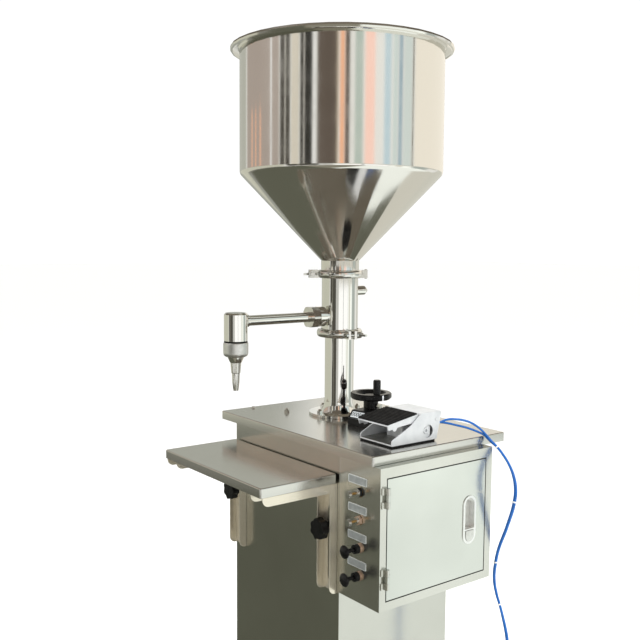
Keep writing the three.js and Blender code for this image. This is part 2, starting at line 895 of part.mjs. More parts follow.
// Product piston on its rod, down to the coupling
function makeProductPiston() {
  const top = rest.pistonTop;
  const low = top - rest.pistonLength;
  const fit = running;
  const groove = { depth: 3.2, height: 6 };
  return turned(
    [
      [0, rest.armTop - 10],
      [rodRadius, rest.armTop - 10],
      [rodRadius, low],
      [bore - fit, low],
      [bore - fit, low + 6],
      [bore - groove.depth, low + 6],
      [bore - groove.depth, low + 6 + groove.height],
      [bore - fit, low + 6 + groove.height],
      [bore - fit, top - 2],
      [bore - 2, top],
      [0, top],
    ],
    sides.tube,
  );
}

function makePistonSeal() {
  const low = rest.pistonTop - rest.pistonLength + 6 + seat;
  return ring(bore - running, bore - 3.2 + seat, low, low + 6 - 2 * seat, sides.tube);
}

// Arm clamped on the rod, which meets the stop nut at the end of the suction stroke
function makeStopArm() {
  const a = { hubRadius: 17, hubDrop: 20, halfWidth: 14, endRadius: 16, cap: 4 };
  const low = rest.armTop - rest.armThickness;
  const reach = Math.hypot(screwAxis.x, screwAxis.y);
  const heading = Math.atan2(screwAxis.y, screwAxis.x);
  const beam = block(0, reach, -a.halfWidth, a.halfWidth, low, rest.armTop).rotateZ(heading);
  const hub = bar(a.hubRadius, low - a.hubDrop, rest.armTop + a.cap, sides.tube);
  const eye = barZ(a.endRadius, low, rest.armTop, screwAxis.x, screwAxis.y, sides.tube);
  return cut(
    join(hub, beam, eye),
    bar(rodRadius + seat, rest.armTop - 10 - seat, rest.armTop + over * 3, sides.tube),
    barZ(leadScrew.radius + 2, low - over, rest.armTop + over, screwAxis.x, screwAxis.y, sides.rod),
    bar(rodRadius + seat, low - a.hubDrop - over, rest.armTop - 22 + seat, sides.tube),
  );
}

// Air piston and its rod, screwed into the lower end of the arm's hub
function makeAirPiston() {
  const a = airCylinder;
  const headTop = carrier.top - carrier.thickness - seat;
  const pistonTop = headTop - a.head - 2;
  return turned(
    [
      [0, pistonTop - a.pistonLength],
      [a.inner - running, pistonTop - a.pistonLength],
      [a.inner - running, pistonTop],
      [rodRadius, pistonTop],
      [rodRadius, rest.armTop - 22],
      [0, rest.armTop - 22],
    ],
    sides.tube,
  );
}

// Air cylinder hung under the carrier plate, with square heads
function makeAirCylinder() {
  const a = airCylinder;
  const top = carrier.top - carrier.thickness - seat;
  const inside = stroke + a.pistonLength + 4;
  const low = top - 2 * a.head - inside;
  const square = a.outer + 4;
  const tie = { radius: 3, inset: 6 };
  const port = { radius: 5.5, depth: 8 };
  const ties = [-1, 1].flatMap((sx) =>
    [-1, 1].map((sy) =>
      barZ(tie.radius, low + 1, top - 1, sx * (square - tie.inset), sy * (square - tie.inset), 8),
    ),
  );
  return cut(
    join(
      block(-square, square, -square, square, top - a.head, top),
      block(-square, square, -square, square, low, low + a.head),
      bar(a.outer, low + 1, top - 1, sides.tube),
      ...ties,
    ),
    bar(a.inner, low + a.head, top - a.head, sides.tube),
    bar(rodRadius + running, top - a.head - over, top + over, sides.tube),
    barY(port.radius, square - port.depth, square + over, 0, top - a.head / 2, sides.rod),
    barY(port.radius, square - port.depth, square + over, 0, low + a.head / 2, sides.rod),
  );
}

// Plate that carries the air cylinder and the lead screw, hung from the table on pillars
function makeCarrier() {
  const c = carrier;
  const low = c.top - c.thickness;
  const outline = [
    [-72, -72],
    [40, -72],
    [126, -80],
    [156, -80],
    [156, 10],
    [74, 72],
    [-72, 72],
  ];
  const hanger = (place) => barZ(c.pillar, low + 1, -table.sheet - seat, ...place, 12);
  return cut(
    join(slab(outline, low, c.top), ...pillarPlaces.map(hanger), hanger(guidePillar)),
    bar(rodRadius + 2, low - over, c.top + over, sides.tube),
    barZ(leadScrew.journal + running, low - over, c.top + over, screwAxis.x, screwAxis.y, sides.rod),
  );
}

// Lead screw under the handwheel, with plain journals; its thread is left smooth
const leadScrew = { radius: 8, journal: 6, top: 44 };

function makeLeadScrew() {
  const l = leadScrew;
  const low = carrier.top - carrier.thickness;
  return turned(
    [
      [0, low - 8],
      [l.journal + 4, low - 8],
      [l.journal + 4, low - seat],
      [l.journal, low - seat],
      [l.journal, carrier.top + seat],
      [l.radius, carrier.top + seat],
      [l.radius, -spindleBush.drop - 4],
      [l.journal, -spindleBush.drop - 4],
      [l.journal, l.top],
      [0, l.top],
    ],
    sides.rod,
  ).translate(screwAxis.x, screwAxis.y, 0);
}

// Stop nut, kept from turning by the guide pillar
function makeStopNut() {
  const armLow = rest.armTop - rest.armThickness;
  const top = armLow - stroke - seat;
  const size = { height: 22, halfWidth: 14 };
  const low = top - size.height;
  const body = block(
    screwAxis.x - size.halfWidth,
    guidePillar[0] + 11,
    screwAxis.y - size.halfWidth,
    screwAxis.y + size.halfWidth,
    low,
    top,
  );
  return cut(
    body,
    barZ(leadScrew.radius + 2 * running, low - over, top + over, screwAxis.x, screwAxis.y, sides.rod),
    barZ(carrier.pillar + running, low - over, top + over, ...guidePillar, sides.rod),
  );
}

// Handwheel with a dished web, the pin of its grip and the square headed clamp screw
const wheel = {
  rim: 39.6,
  rimInner: 28,
  hub: 14.2,
  hubLow: 28,
  webLow: 46,
  webTop: 52,
  rimLow: 47.5,
  rimTop: 59.5,
  grip: 7.3,
  gripHeight: 28,
  gripPin: 3,
  gripRadius: 31,
  gripAngle: -20,
};

function gripPlace() {
  const angle = THREE.MathUtils.degToRad(wheel.gripAngle);
  return [screwAxis.x + wheel.gripRadius * Math.cos(angle), screwAxis.y + wheel.gripRadius * Math.sin(angle)];
}

function makeHandwheel() {
  const w = wheel;
  const disc = turned(
    [
      [0, w.hubLow],
      [w.hub - 1, w.hubLow],
      [w.hub, w.hubLow + 1],
      [w.hub, w.webLow],
      [w.rimInner, w.rimLow + 0.5],
      [w.rim - 3, w.rimLow],
      [w.rim, w.rimLow + 3],
      [w.rim, w.rimTop - 2],
      [w.rim - 2, w.rimTop],
      [w.rimInner + 1, w.rimTop],
      [w.rimInner, w.rimTop - 1],
      [w.rimInner - 3, w.webTop],
      [w.hub - 1, w.webTop],
      [w.hub - 3, w.webTop + 3],
      [0, w.webTop + 3],
    ],
    sides.column,
  ).translate(screwAxis.x, screwAxis.y, 0);
  const journal = leadScrew.journal + seat;
  const shaft = barZ(journal, w.hubLow - over, leadScrew.top + seat, screwAxis.x, screwAxis.y, sides.rod);
  const pin = barZ(w.gripPin, w.rimTop - 1, w.rimTop + w.gripHeight - 5, ...gripPlace(), 10);
  const screw = {
    radius: 3.2,
    from: w.hub - 2,
    to: w.hub + 4,
    head: 4.2,
    headTo: w.hub + 9,
    heading: 14,
    height: 34,
  };
  const clampScrew = join(
    barX(screw.radius, screw.from, screw.to + 0.5, 0, screw.height, 10),
    block(screw.to, screw.headTo, -screw.head, screw.head, screw.height - screw.head, screw.height + screw.head),
  )
    .rotate([0, 0, screw.heading])
    .translate([screwAxis.x, screwAxis.y, 0]);
  return join(cut(disc, shaft), pin, clampScrew);
}

function makeGrip() {
  const w = wheel;
  const low = w.rimTop + seat;
  const high = low + w.gripHeight;
  const profile = [
    [0, low],
    [w.grip - 0.8, low],
    [w.grip, low + 2],
    [w.grip, high - 2],
    [w.grip - 1.6, high],
    [0, high],
  ];
  const hole = bar(w.gripPin + seat, low - over, w.rimTop + w.gripHeight - 5 + seat, 10);
  return cut(turned(profile, sides.rod), hole).translate([...gripPlace(), 0]);
}

// Bush of the spindle and the position indicator over it, turned a little on the table
const indicator = { width: 40, front: 44, height: 27, windowFoot: 12, windowSet: 13, heading: 8, ear: 9 };

function makeIndicator() {
  const i = indicator;
  const half = i.width / 2;
  const side = [
    [-i.front, seat],
    [half, seat],
    [half, i.height],
    [-i.front + i.windowSet, i.height],
    [-i.front, i.windowFoot],
  ];
  const plan = roundedTail(i.front, half);
  const housing = common(slabX(side, -half, half), slab(plan, -over, i.height + over));
  const ear = block(-half - i.ear, -half + 1, -i.front + 12, -i.front + 30, seat, 7);
  const made = join(housing, ear)
    .rotate([0, 0, i.heading])
    .translate([screwAxis.x, screwAxis.y, 0]);
  const bush = join(
    barZ(spindleBush.outer, -spindleBush.drop, seat + 1, screwAxis.x, screwAxis.y, sides.tube),
    barZ(spindleBush.flange, seat, 4, screwAxis.x, screwAxis.y, sides.tube),
  );
  return cut(
    join(made, bush),
    barZ(leadScrew.journal + running, -spindleBush.drop - over, i.height + over, screwAxis.x, screwAxis.y, sides.rod),
  );
}

// Plan of the indicator: square at the window, round about the shaft
function roundedTail(front, half) {
  return [[-half, -front], [half, -front], ...arc(0, 0, half, 0, 180, 8)];
}

// Control cabinet: sheet box with a jamb behind its door opening and the fixed halves of the hinges
function makeCabinet() {
  const c = cabinet;
  const box = cut(
    block(c.left, c.right, c.front, c.back, c.bottom, c.top),
    block(
      c.left + c.wall,
      c.right - c.wall,
      c.front + c.wall,
      c.back - c.wall,
      c.bottom + c.wall,
      c.top - c.wall,
    ),
  );
  const open = {
    front: door.front - doorGap,
    back: door.back + doorGap,
    bottom: door.bottom - doorGap,
    top: door.top + doorGap,
  };
  const jamb = block(
    c.right - c.jamb,
    c.right - c.wall / 2,
    open.front - c.wall,
    open.back + c.wall,
    open.bottom - c.wall,
    open.top + c.wall,
  );
  const doorway = block(c.right - c.jamb - over, c.right + over, open.front, open.back, open.bottom, open.top);
  const stemHoles = controlHeights.map((z) =>
    barY(controls.hole, c.front - over, c.front + c.wall + over, controls.x, z, sides.rod),
  );
  const knuckles = hinge.heights.flatMap((z) => [
    hingeTab(z + hinge.height / 6 + seat, z + hinge.height / 2, -1),
    hingeTab(z - hinge.height / 2, z - hinge.height / 6 - seat, -1),
    barZ(hinge.pin, z - hinge.height / 2, z + hinge.height / 2, hingeAxis.x, hingeAxis.y, 10),
  ]);
  return join(cut(join(box, jamb), doorway, ...stemHoles), ...knuckles);
}

const hingeAxis = { x: cabinet.right + hinge.stand, y: door.front - hinge.setBack };

// One knuckle with its leaf; side is -1 for the cabinet's half and 1 for the door's
function hingeTab(from, to, side) {
  const face = cabinet.right;
  const span = (near, far) => [hingeAxis.y + side * near, hingeAxis.y + side * far].sort((p, q) => p - q);
  return join(
    block(face + seat, face + hinge.sheet, ...span(0, hinge.leaf), from, to),
    block(face - seat, face + hinge.sheet, ...span(hinge.knuckle + 1, hinge.leaf), from, to),
    barZ(hinge.knuckle, from, to, hingeAxis.x, hingeAxis.y, sides.rod),
  );
}

// Door with folded lips, its hinge halves, and the oval pull plate with its cup
const pull = { middleY: 33.5, middleZ: -140, width: 32, height: 87, plate: 1.6, cup: 11, wall: 1.4 };
const pullButton = { width: 20, top: -159, bottom: -179, reach: 1.2 };

function makeDoor() {
  const face = cabinet.right;
  const inner = face - door.sheet;
  const tray = cut(
    block(face - door.lip, face, door.front, door.back, door.bottom, door.top),
    block(
      face - door.lip - over,
      inner,
      door.front + door.sheet,
      door.back - door.sheet,
      door.bottom + door.sheet,
      door.top - door.sheet,
    ),
  );
  const knuckles = hinge.heights.map((z) => hingeTab(z - hinge.height / 6, z + hinge.height / 6, 1));
  const knuckleBores = hinge.heights.map((z) =>
    barZ(hinge.pin + running, z - hinge.height / 6 - over, z + hinge.height / 6 + over, hingeAxis.x, hingeAxis.y, 12),
  );
  const plate = pullSlab(pull.width / 2, pull.height, face - 0.5, face + pull.plate);
  const cupOuter = pullSlab(pull.width / 2 - 3, pull.height - 6, face - pull.cup, face);
  const recess = common(
    pullSlab(pull.width / 2 - 3 - pull.wall, pull.height - 6 - 2 * pull.wall, face - pull.cup + pull.wall, face + over * 2),
    block(face - door.lip, face + over * 3, -over + pull.middleY - pull.width, pull.middleY + pull.width, pullButton.top + 3, 0),
  );
  const buttonHole = slabX(buttonOutline(seat), face - pull.cup - over, face + over * 2);
  return cut(join(tray, plate, cupOuter, ...knuckles), ...knuckleBores, recess, buttonHole);
}

// A slab with round ends in the door's plane
function pullSlab(radius, height, from, to) {
  const low = pull.middleZ - height / 2 + radius;
  const high = pull.middleZ + height / 2 - radius;
  const outline = [
    ...arc(pull.middleY, high, radius, 0, 180, 10),
    ...arc(pull.middleY, low, radius, 180, 360, 10),
  ];
  return slabX(outline, from, to);
}

// The push button's outline: flat on top, round below
function buttonOutline(grow) {
  const half = pullButton.width / 2 + grow;
  const low = pullButton.bottom + pullButton.width / 2;
  return [
    [pull.middleY + half, pullButton.top + grow],
    [pull.middleY - half, pullButton.top + grow],
    ...arc(pull.middleY, low, half, 180, 360, 10),
  ];
}

function makePullButton() {
  const face = cabinet.right;
  const stem = slabX(buttonOutline(0), face - pull.cup + 1, face + pull.plate + pullButton.reach);
  return join(stem);
}

// Control block behind the cabinet's front wall, with four necks through it
const controls = { x: 277, hole: 8.5, barBack: -146, barHalf: 15, barEnd: 14, borePast: 8 };
const controlHeights = [-67, -114.3, -162.2, -209.8];
const needle = {
  neck: 5,
  neckReach: 9,
  nut: 14,
  nutDepth: 5.5,
  stem: 2.2,
  stemReach: 25,
  knob: 5.8,
  shoulder: 3.8,
  knobFrom: 19.5,
  waist: 1.5,
  knobTo: 26.5,
};
const plunger = {
  neck: 8,
  neckReach: 11.5,
  nut: 15,
  nutDepth: 7.5,
  stem: 3.6,
  knob: 11.7,
  knobFrom: 28.5,
  knobTo: 36.5,
  dome: 0.8,
  crown: 3,
  rim: 5,
  flare: 4,
};
const plungerShares = { dome: 0.55, crown: 0.9, back: 0.8 };

function makeControlBlock() {
  const face = cabinet.front;
  const inner = face + cabinet.wall + seat;
  const shapes = [
    block(
      controls.x - controls.barHalf,
      controls.x + controls.barHalf,
      inner,
      controls.barBack,
      controlHeights[3] - controls.barEnd,
      controlHeights[0] + controls.barEnd,
    ),
  ];
  controlHeights.forEach((z, i) => {
    const kind = i < 2 ? needle : plunger;
    const nut = hexBar(kind.nut, -kind.nutDepth, -seat).rotateX(-quarterTurn).translate(controls.x, face, z);
    shapes.push(barY(kind.neck, face - kind.neckReach, inner + 1, controls.x, z, sides.rod), nut);
    if (kind === needle) shapes.push(barY(kind.stem, face - kind.stemReach, face, controls.x, z, 10));
  });
  const boreEnd = controls.barBack - controls.borePast;
  const bores = controlHeights
    .slice(2)
    .map((z) => barY(plunger.stem + seat, face - plunger.neckReach - over, boreEnd, controls.x, z, sides.rod));
  return cut(join(...shapes), ...bores);
}

function makeNeedleKnob(z) {
  const face = cabinet.front;
  const n = needle;
  const body = join(
    barY(n.knob, face - n.knobTo, face - n.knobFrom - n.waist, controls.x, z, sides.rod),
    barY(n.shoulder, face - n.knobFrom - n.waist - over, face - n.knobFrom, controls.x, z, sides.rod),
  );
  return cut(body, barY(n.stem + seat, face - n.stemReach - seat, face, controls.x, z, 10));
}

function makePlungerKnob(z) {
  const face = cabinet.front;
  const p = plunger;
  const shares = plungerShares;
  const profile = [
    [0, p.knobTo],
    [p.knob * shares.dome, p.knobTo - p.dome],
    [p.knob * shares.crown, p.knobTo - p.crown],
    [p.knob, p.knobTo - p.rim],
    [p.knob * shares.back, p.knobFrom],
    [p.stem, p.knobFrom - p.flare],
    [p.stem, 0],
    [0, 0],
  ];
  return turned(profile, sides.tube).rotateX(quarterTurn).translate(controls.x, face, z);
}

// Main air valve on the cabinet's inner wall
function makeAirValve() {
  const c = cabinet;
  const v = { depth: 30, front: -110, back: -20, low: -190, high: -150, solenoid: 24 };
  const wall = c.left + c.wall + seat;
  const ports = [v.front + 25, v.front + 45, v.front + 65].map((y) =>
    barZ(5.5, v.low - 12, v.low + 1, wall + v.depth / 2, y, 12),
  );
  return join(
    block(wall, wall + v.depth, v.front, v.back, v.low, v.high),
    block(wall + 2, wall + v.solenoid, v.back - 1, v.back + 32, v.low + 4, v.high - 2),
    block(wall + 2, wall + v.solenoid, v.front - 20, v.front + 1, v.low + 4, v.high - 2),
    ...ports,
  );
}

// Shelf tray and the slotted channels that carry it
function makeShelfTray() {
  const s = shelf;
  return cut(
    foldedSlab(roundedOutline(s.left, s.right, s.front, s.back, s.corner, 3), s.top - s.lip, s.top, s.fold),
    slab(
      roundedOutline(s.left + s.sheet, s.right - s.sheet, s.front + s.sheet, s.back - s.sheet, s.corner - s.sheet, 3),
      s.top - s.lip - over,
      s.top - s.sheet,
    ),
  );
}

function makeBracket(left) {
  const b = bracket;
  const right = left + b.width;
  const top = shelf.top - shelf.lip - seat;
  const back = pedestal.front - seat;
  const front = back - b.web;
  const web = [
    [back, top],
    [b.legFront, top],
    ...arc(b.legFront + b.endRadius, top - b.web + b.endRadius, b.endRadius, 180, 270, 5),
    [front, top - b.web],
    ...arc(front + b.endRadius, b.bottom + b.endRadius, b.endRadius, 180, 270, 5),
    [back, b.bottom],
  ];
  const slotMiddle = (left + right) / 2;
  const slotRadius = b.slotWidth / 2;
  const slot = join(
    block(
      slotMiddle - slotRadius,
      slotMiddle + slotRadius,
      back - b.sheet - over,
      back + over,
      b.slotBottom + slotRadius,
      b.slotTop - slotRadius,
    ),
    barY(slotRadius, back - b.sheet - over, back + over, slotMiddle, b.slotTop - slotRadius, sides.rod),
    barY(slotRadius, back - b.sheet - over, back + over, slotMiddle, b.slotBottom + slotRadius, sides.rod),
  );
  return cut(
    join(
      slabX(web, left, left + b.sheet),
      slabX(web, right - b.sheet, right),
      block(left, right, b.legFront + 1, back, top - b.sheet, top),
      block(left, right, back - b.sheet, back, b.bottom + 2, top),
    ),
    slot,
  );
}

// Seven lobed clamping knob on a shelf stud
function makeStarKnob(x) {
  const k = starKnob;
  const hubFrom = bracket.sheet + 2 * seat;
  const steps = 6 * k.lobes;
  const outline = Array.from({ length: steps }, (_, i) => {
    const angle = (2 * Math.PI * i) / steps;
    const radius = k.radius - k.lobeDepth / 2 + (k.lobeDepth / 2) * Math.cos(k.lobes * angle);
    return [radius * Math.cos(angle), radius * Math.sin(angle)];
  });
  const face = pedestal.front;
  const lobed = slab(outline, 0, k.thickness)
    .rotateX(quarterTurn)
    .translate(x, face - bracket.web - 3 * seat, shelfStud.height);
  const hub = barY(k.hub, face - bracket.web - 2, face - hubFrom, x, shelfStud.height, sides.rod);
  const bore = barY(shelfStud.radius + running, face - shelfStud.reach, face, x, shelfStud.height, sides.rod);
  const blind = cut(bore, block(x - k.hub, x + k.hub, face - 2 * shelfStud.reach, face - shelfStud.reach - 0.5, -400, 0));
  return cut(join(lobed, hub), blind);
}

// Foot valve: base with upright cheeks and hood, treadle, tread and valve
const foot = {
  left: 204,
  right: 287,
  front: -115,
  frontLip: 14,
  back: 1.5,
  backLow: -9.4,
  cheek: 2.2,
  mat: 2.4,
  floor: 2.6,
  top: 52,
  hoodFront: -48,
  noseY: -70.5,
  noseZ: 33.5,
  pivotY: -10,
  pivotZ: 38.5,
  pin: 2.5,
  pinHead: 3.4,
};
const treadle = {
  clear: foot.cheek + 0.9,
  sheet: 2,
  tipY: -123,
  tipZ: 39.3,
  rearY: -53,
  rearZ: 51,
  underHood: 49,
  eye: 5,
  barFront: -40,
  barBack: -32,
  barLow: 38.5,
};

function makePedalMat() {
  const m = { grow: 1, corner: 4, backInset: 3 };
  const outline = roundedOutline(
    foot.left - m.grow,
    foot.right + m.grow,
    foot.front - m.grow,
    foot.backLow - m.backInset,
    m.corner,
    3,
  );
  return slab(outline, seat, seat + foot.mat);
}

function makePedalBase() {
  const f = foot;
  const low = 2 * seat + f.mat;
  const roof = f.top - f.cheek;
  const cheek = [
    [f.backLow, low],
    [f.front, low],
    [f.front, f.frontLip - 3],
    [f.front + 3, f.frontLip],
    [f.noseY, f.noseZ],
    [f.hoodFront - 2, f.top - 2],
    [f.hoodFront, f.top],
    [f.back - 2, f.top],
    [f.back, f.top - 2],
  ];
  const inside = [
    [f.backLow - f.cheek, low + f.floor],
    [f.front - over, low + f.floor],
    [f.front - over, roof],
    [f.back - f.cheek, roof],
  ];
  const knockOut = { y: -29.8, z: 18.8, radius: 11.6 };
  const screwHeads = cut(
    barX(f.pinHead, f.left - 1.2, f.right + 1.2, f.pivotY, f.pivotZ, 12),
    block(f.left + 0.6, f.right - 0.6, f.front, f.back, 0, f.top),
  );
  return join(
    cut(
      slabX(cheek, f.left, f.right),
      slabX(inside, f.left + f.cheek, f.right - f.cheek),
      barX(knockOut.radius, f.right - f.cheek - over, f.right + over, knockOut.y, knockOut.z, sides.rod),
      ...tubeExits.map(([x, z]) => barY(footFitting.outer + seat, f.backLow - 8, f.back + over, x, z, sides.rod)),
    ),
    barX(f.pin, f.left + 0.5, f.right - 0.5, f.pivotY, f.pivotZ, 12),
    screwHeads,
  );
}

// Treadle: a folded plate with side flanges, hung on the pin inside the hood
function makeTreadle() {
  const t = treadle;
  const { pivotY, pivotZ } = foot;
  const flange = [
    [t.tipY, t.tipZ],
    [t.tipY + 3, t.tipZ - 9],
    [t.tipY + 12, t.tipZ - 8],
    [t.tipY + 15, t.tipZ - 12],
    [t.tipY + 20, t.tipZ - 11],
    [t.tipY + 23, t.tipZ - 6],
    [t.rearY, t.rearZ - 13],
    ...arc(pivotY, pivotZ, t.eye, 250, 430, 6),
    [t.rearY + 3, t.underHood],
    [t.rearY, t.rearZ],
  ];
  const plate = [
    [t.tipY, t.tipZ],
    [t.tipY, t.tipZ - t.sheet],
    [t.rearY, t.rearZ - t.sheet],
    [t.rearY, t.rearZ],
  ];
  const left = foot.left + t.clear;
  const right = foot.right - t.clear;
  return cut(
    join(
      slabX(flange, left, left + t.sheet),
      slabX(flange, right - t.sheet, right),
      slabX(plate, left, right),
      block(left, right, t.barFront, t.barBack, t.barLow, t.barLow + 3.5),
    ),
    barX(foot.pin + seat, foot.left, foot.right, pivotY, pivotZ, 12),
  );
}

// Ribbed rubber tread on the treadle
function makeTread() {
  const t = treadle;
  const inset = 2.5;
  const rise = Math.atan2(t.rearZ - t.tipZ, t.rearY - t.tipY);
  const length = Math.hypot(t.rearZ - t.tipZ, t.rearY - t.tipY);
  const ribs = { count: 12, height: 1.1, thickness: 2.4, margin: 2 };
  const left = foot.left + inset;
  const right = foot.right - inset;
  const pitch = (length - 2 * ribs.margin) / ribs.count;
  const ribOf = (i) => {
    const from = ribs.margin + pitch * (i + 0.25);
    return block(left, right, from, from + pitch / 2, ribs.thickness - 0.5, ribs.thickness + ribs.height);
  };
  const pad = block(left, right, ribs.margin / 2, length - ribs.margin, seat, ribs.thickness);
  return join(pad, ...Array.from({ length: ribs.count }, (_, i) => ribOf(i)))
    .rotate([THREE.MathUtils.radToDeg(rise), 0, 0])
    .translate([0, t.tipY, t.tipZ]);
}

// Valve under the treadle, with the boss seen through the cheek and the two push-in fittings
const footValve = { left: 222, right: 262, front: -68, back: -22, top: 27, armRight: 283 };
const footFitting = { outer: 4.4, from: -24, end: 3 };
const tubeExits = [
  [278, 28.5],
  [267, 26],
];
const plungerPin = { radius: 4, tip: 1.5, x: 243, y: (treadle.barFront + treadle.barBack) / 2, depth: 7 };

function makePedalValve() {
  const v = footValve;
  const low = 3 * seat + foot.mat + foot.floor;
  const boss = { radius: 5.6, bore: 2.8, y: -34.5, z: 20.5 };
  const bossEnd = foot.right - 0.6;
  const fittings = tubeExits.map(([x, z]) => barY(footFitting.outer, footFitting.from, footFitting.end, x, z, sides.rod));
  return cut(
    join(
      block(v.left, v.right, v.front, v.back, low, v.top),
      block(v.right - 1, v.armRight, -44, v.back, low, 33),
      barX(boss.radius, v.right, bossEnd, boss.y, boss.z, sides.rod),
      ...fittings,
    ),
    barX(boss.bore, bossEnd - 3, bossEnd + over, boss.y, boss.z, 10),
    barZ(plungerPin.radius + seat, v.top - 2 * plungerPin.depth, v.top + over, plungerPin.x, plungerPin.y, sides.rod),
  );
}

function makePedalPlunger() {
  const p = plungerPin;
  const top = treadle.barLow - seat;
  return join(
    barZ(p.radius, footValve.top - p.depth, top - 3, p.x, p.y, sides.rod),
    barZ(p.radius, top - 3, top, p.x, p.y, sides.rod, p.tip),
  );
}

// Air preparation unit low on the pedestal's right side: regulator with its filter, and the oiler
const air = {
  x: 255,
  regulatorY: -90,
  oilerY: -37,
  half: 20,
  bodyTop: -432,
  bodyBottom: -485,
  bowl: 18,
  bowlBottom: -567,
  knob: 14.5,
  knobTop: -403,
};

function makeAirUnit() {
  const a = air;
  const bowl = (y) =>
    turned(
      [
        [0, a.bowlBottom],
        [6, a.bowlBottom],
        [6, a.bowlBottom + 8],
        [a.bowl - 4, a.bowlBottom + 12],
        [a.bowl, a.bowlBottom + 24],
        [a.bowl, a.bodyBottom + 1],
        [0, a.bodyBottom + 1],
      ],
      sides.rod,
    ).translate(a.x, y, 0);
  const dome = turned(
    [
      [0, a.bodyTop - 21],
      [11, a.bodyTop - 21],
      [11, a.bodyTop - 10],
      [8, a.bodyTop - 4],
      [4.5, a.bodyTop - 3],
      [4.5, a.bodyTop],
      [0, a.bodyTop],
    ],
    sides.rod,
  ).translate(a.x, a.oilerY, 0);
  const plateFace = pedestal.right + seat;
  return join(
    block(a.x - a.half, a.x + a.half, a.regulatorY - a.half, a.regulatorY + a.half, a.bodyBottom, a.bodyTop),
    block(a.x - a.half, a.x + a.half, a.oilerY - a.half, a.oilerY + a.half, a.bodyBottom, a.bodyTop - 20),
    block(a.x - 12, a.x + 12, a.regulatorY, a.oilerY, a.bodyBottom + 8, a.bodyTop - 16),
    block(plateFace, a.x - a.half + 1, a.regulatorY + 14, a.oilerY - 14, a.bodyBottom + 10, a.bodyTop - 12),
    block(plateFace, plateFace + 3, a.regulatorY, a.oilerY, a.bodyBottom - 8, a.bodyTop - 4),
    barY(9, a.oilerY + a.half - 1, a.oilerY + a.half + 16, a.x, a.bodyBottom + 25, sides.rod),
    barY(9, a.regulatorY - a.half - 14, a.regulatorY - a.half + 1, a.x, a.bodyBottom + 25, sides.rod),
    bar(13, a.bodyTop - 1, a.bodyTop + 2, sides.rod).translate(a.x, a.regulatorY, 0),
    bar(4, a.bodyTop, a.bodyTop + 14, 12).translate(a.x, a.regulatorY, 0),
    dome,
    bowl(a.regulatorY),
    bowl(a.oilerY),
  );
}

function makeRegulatorKnob() {
  const a = air;
  const low = a.bodyTop + 2 + seat;
  const body = turned(
    [
      [0, low],
      [a.knob - 1, low],
      [a.knob, low + 3],
      [a.knob - 0.8, a.knobTop - 2],
      [a.knob - 3, a.knobTop],
      [0, a.knobTop],
    ],
    sides.tube,
  );
  return cut(body, bar(4 + seat, low - over, a.bodyTop + 14 + seat, 12)).translate([a.x, a.regulatorY, 0]);
}

// Plate with the two push-in fittings that the foot valve's tubes return to
const outlet = { y: 66, z: -612, end: 250, gap: 7 };

function makeTubeOutlet() {
  const face = pedestal.right + seat;
  const o = outlet;
  const plate = block(face, face + 3, o.y - 24, o.y + 24, o.z - 14, o.z + 14);
  const places = [o.y - o.gap, o.y + o.gap];
  const fittings = places.map((y) => barX(footFitting.outer, face + 2, o.end, y, o.z, sides.rod));
  return join(plate, ...fittings);
}

// The two blue tubes: from the foot valve over the table's lip, down, and back to the pedestal
const tube = { radius: 2, steps: 40 };
const rearEnd = footFitting.end + seat;
const tubeRouteA = [
  [278, rearEnd, 28.5],
  [278.2, 9, 28.8],
  [281.6, 17, 32],
  [286.5, 25, 33.6],
  [291, 33, 33.2],
  [295.3, 45, 31.2],
  [300.5, 56, 27.7],
  [306.6, 66, 21.9],
  [313, 76, 13],
  [318.2, 83, 4.2],
  [325.5, 90, -7],
  [335.5, 95.5, -17.5],
  [347.2, 99.5, -31],
  [358, 102, -45.5],
  [367, 104, -63],
  [372.5, 105, -85],
  [371.3, 105, -109.3],
  [355.8, 105, -159.7],
  [336.1, 105, -210.8],
  [331.6, 105, -232.1],
  [328.9, 105, -264.8],
  [335, 105, -291.6],
  [343.6, 104, -308.2],
  [358.4, 103, -343.6],
  [365.6, 102, -366],
  [371, 101, -410],
  [370, 99, -460],
  [362, 95, -510],
  [345, 90, -555],
  [318, 82, -592],
  [286, 75, -609],
  [266, 73, -612],
  [250.3, 73, -612],
];
const tubeRouteB = [
  [267, rearEnd, 26],
  [267.4, 9, 26.2],
  [273, 17, 26.4],
  [281, 27, 24.6],
  [289, 38, 21.4],
  [297.5, 52, 17.4],
  [304, 63, 13],
  [309, 73, 8.4],
  [314, 83, 2.6],
  [321, 92, -8.5],
  [331.5, 98.5, -18.5],
  [343.2, 102.5, -31.5],
  [354, 105, -46],
  [362.8, 106.4, -63.5],
  [368.1, 106.6, -85.5],
  [366.9, 106.6, -109.5],
  [351.4, 107.4, -159.8],
  [332, 107.6, -210.8],
  [327.5, 107.2, -232.1],
  [324.8, 107.2, -265],
  [330.8, 107.8, -292.5],
  [339.4, 107, -309.2],
  [354, 105.4, -344.6],
  [361.2, 103.6, -366.5],
  [366.4, 101.8, -410],
  [365.4, 99, -459],
  [357.6, 94, -507.5],
  [341, 88, -551],
  [315, 76, -587],
  [285, 63, -606],
  [266, 59, -612],
  [250.3, 59, -612],
];

function makeTube(route) {
  const extrudePath = new THREE.CatmullRomCurve3(route.map(([x, y, z]) => new THREE.Vector3(x, y, z)));
  const section = new THREE.Shape().absarc(0, 0, tube.radius, 0, 2 * Math.PI);
  return new THREE.ExtrudeGeometry(section, { steps: tube.steps, curveSegments: 4, extrudePath });
}

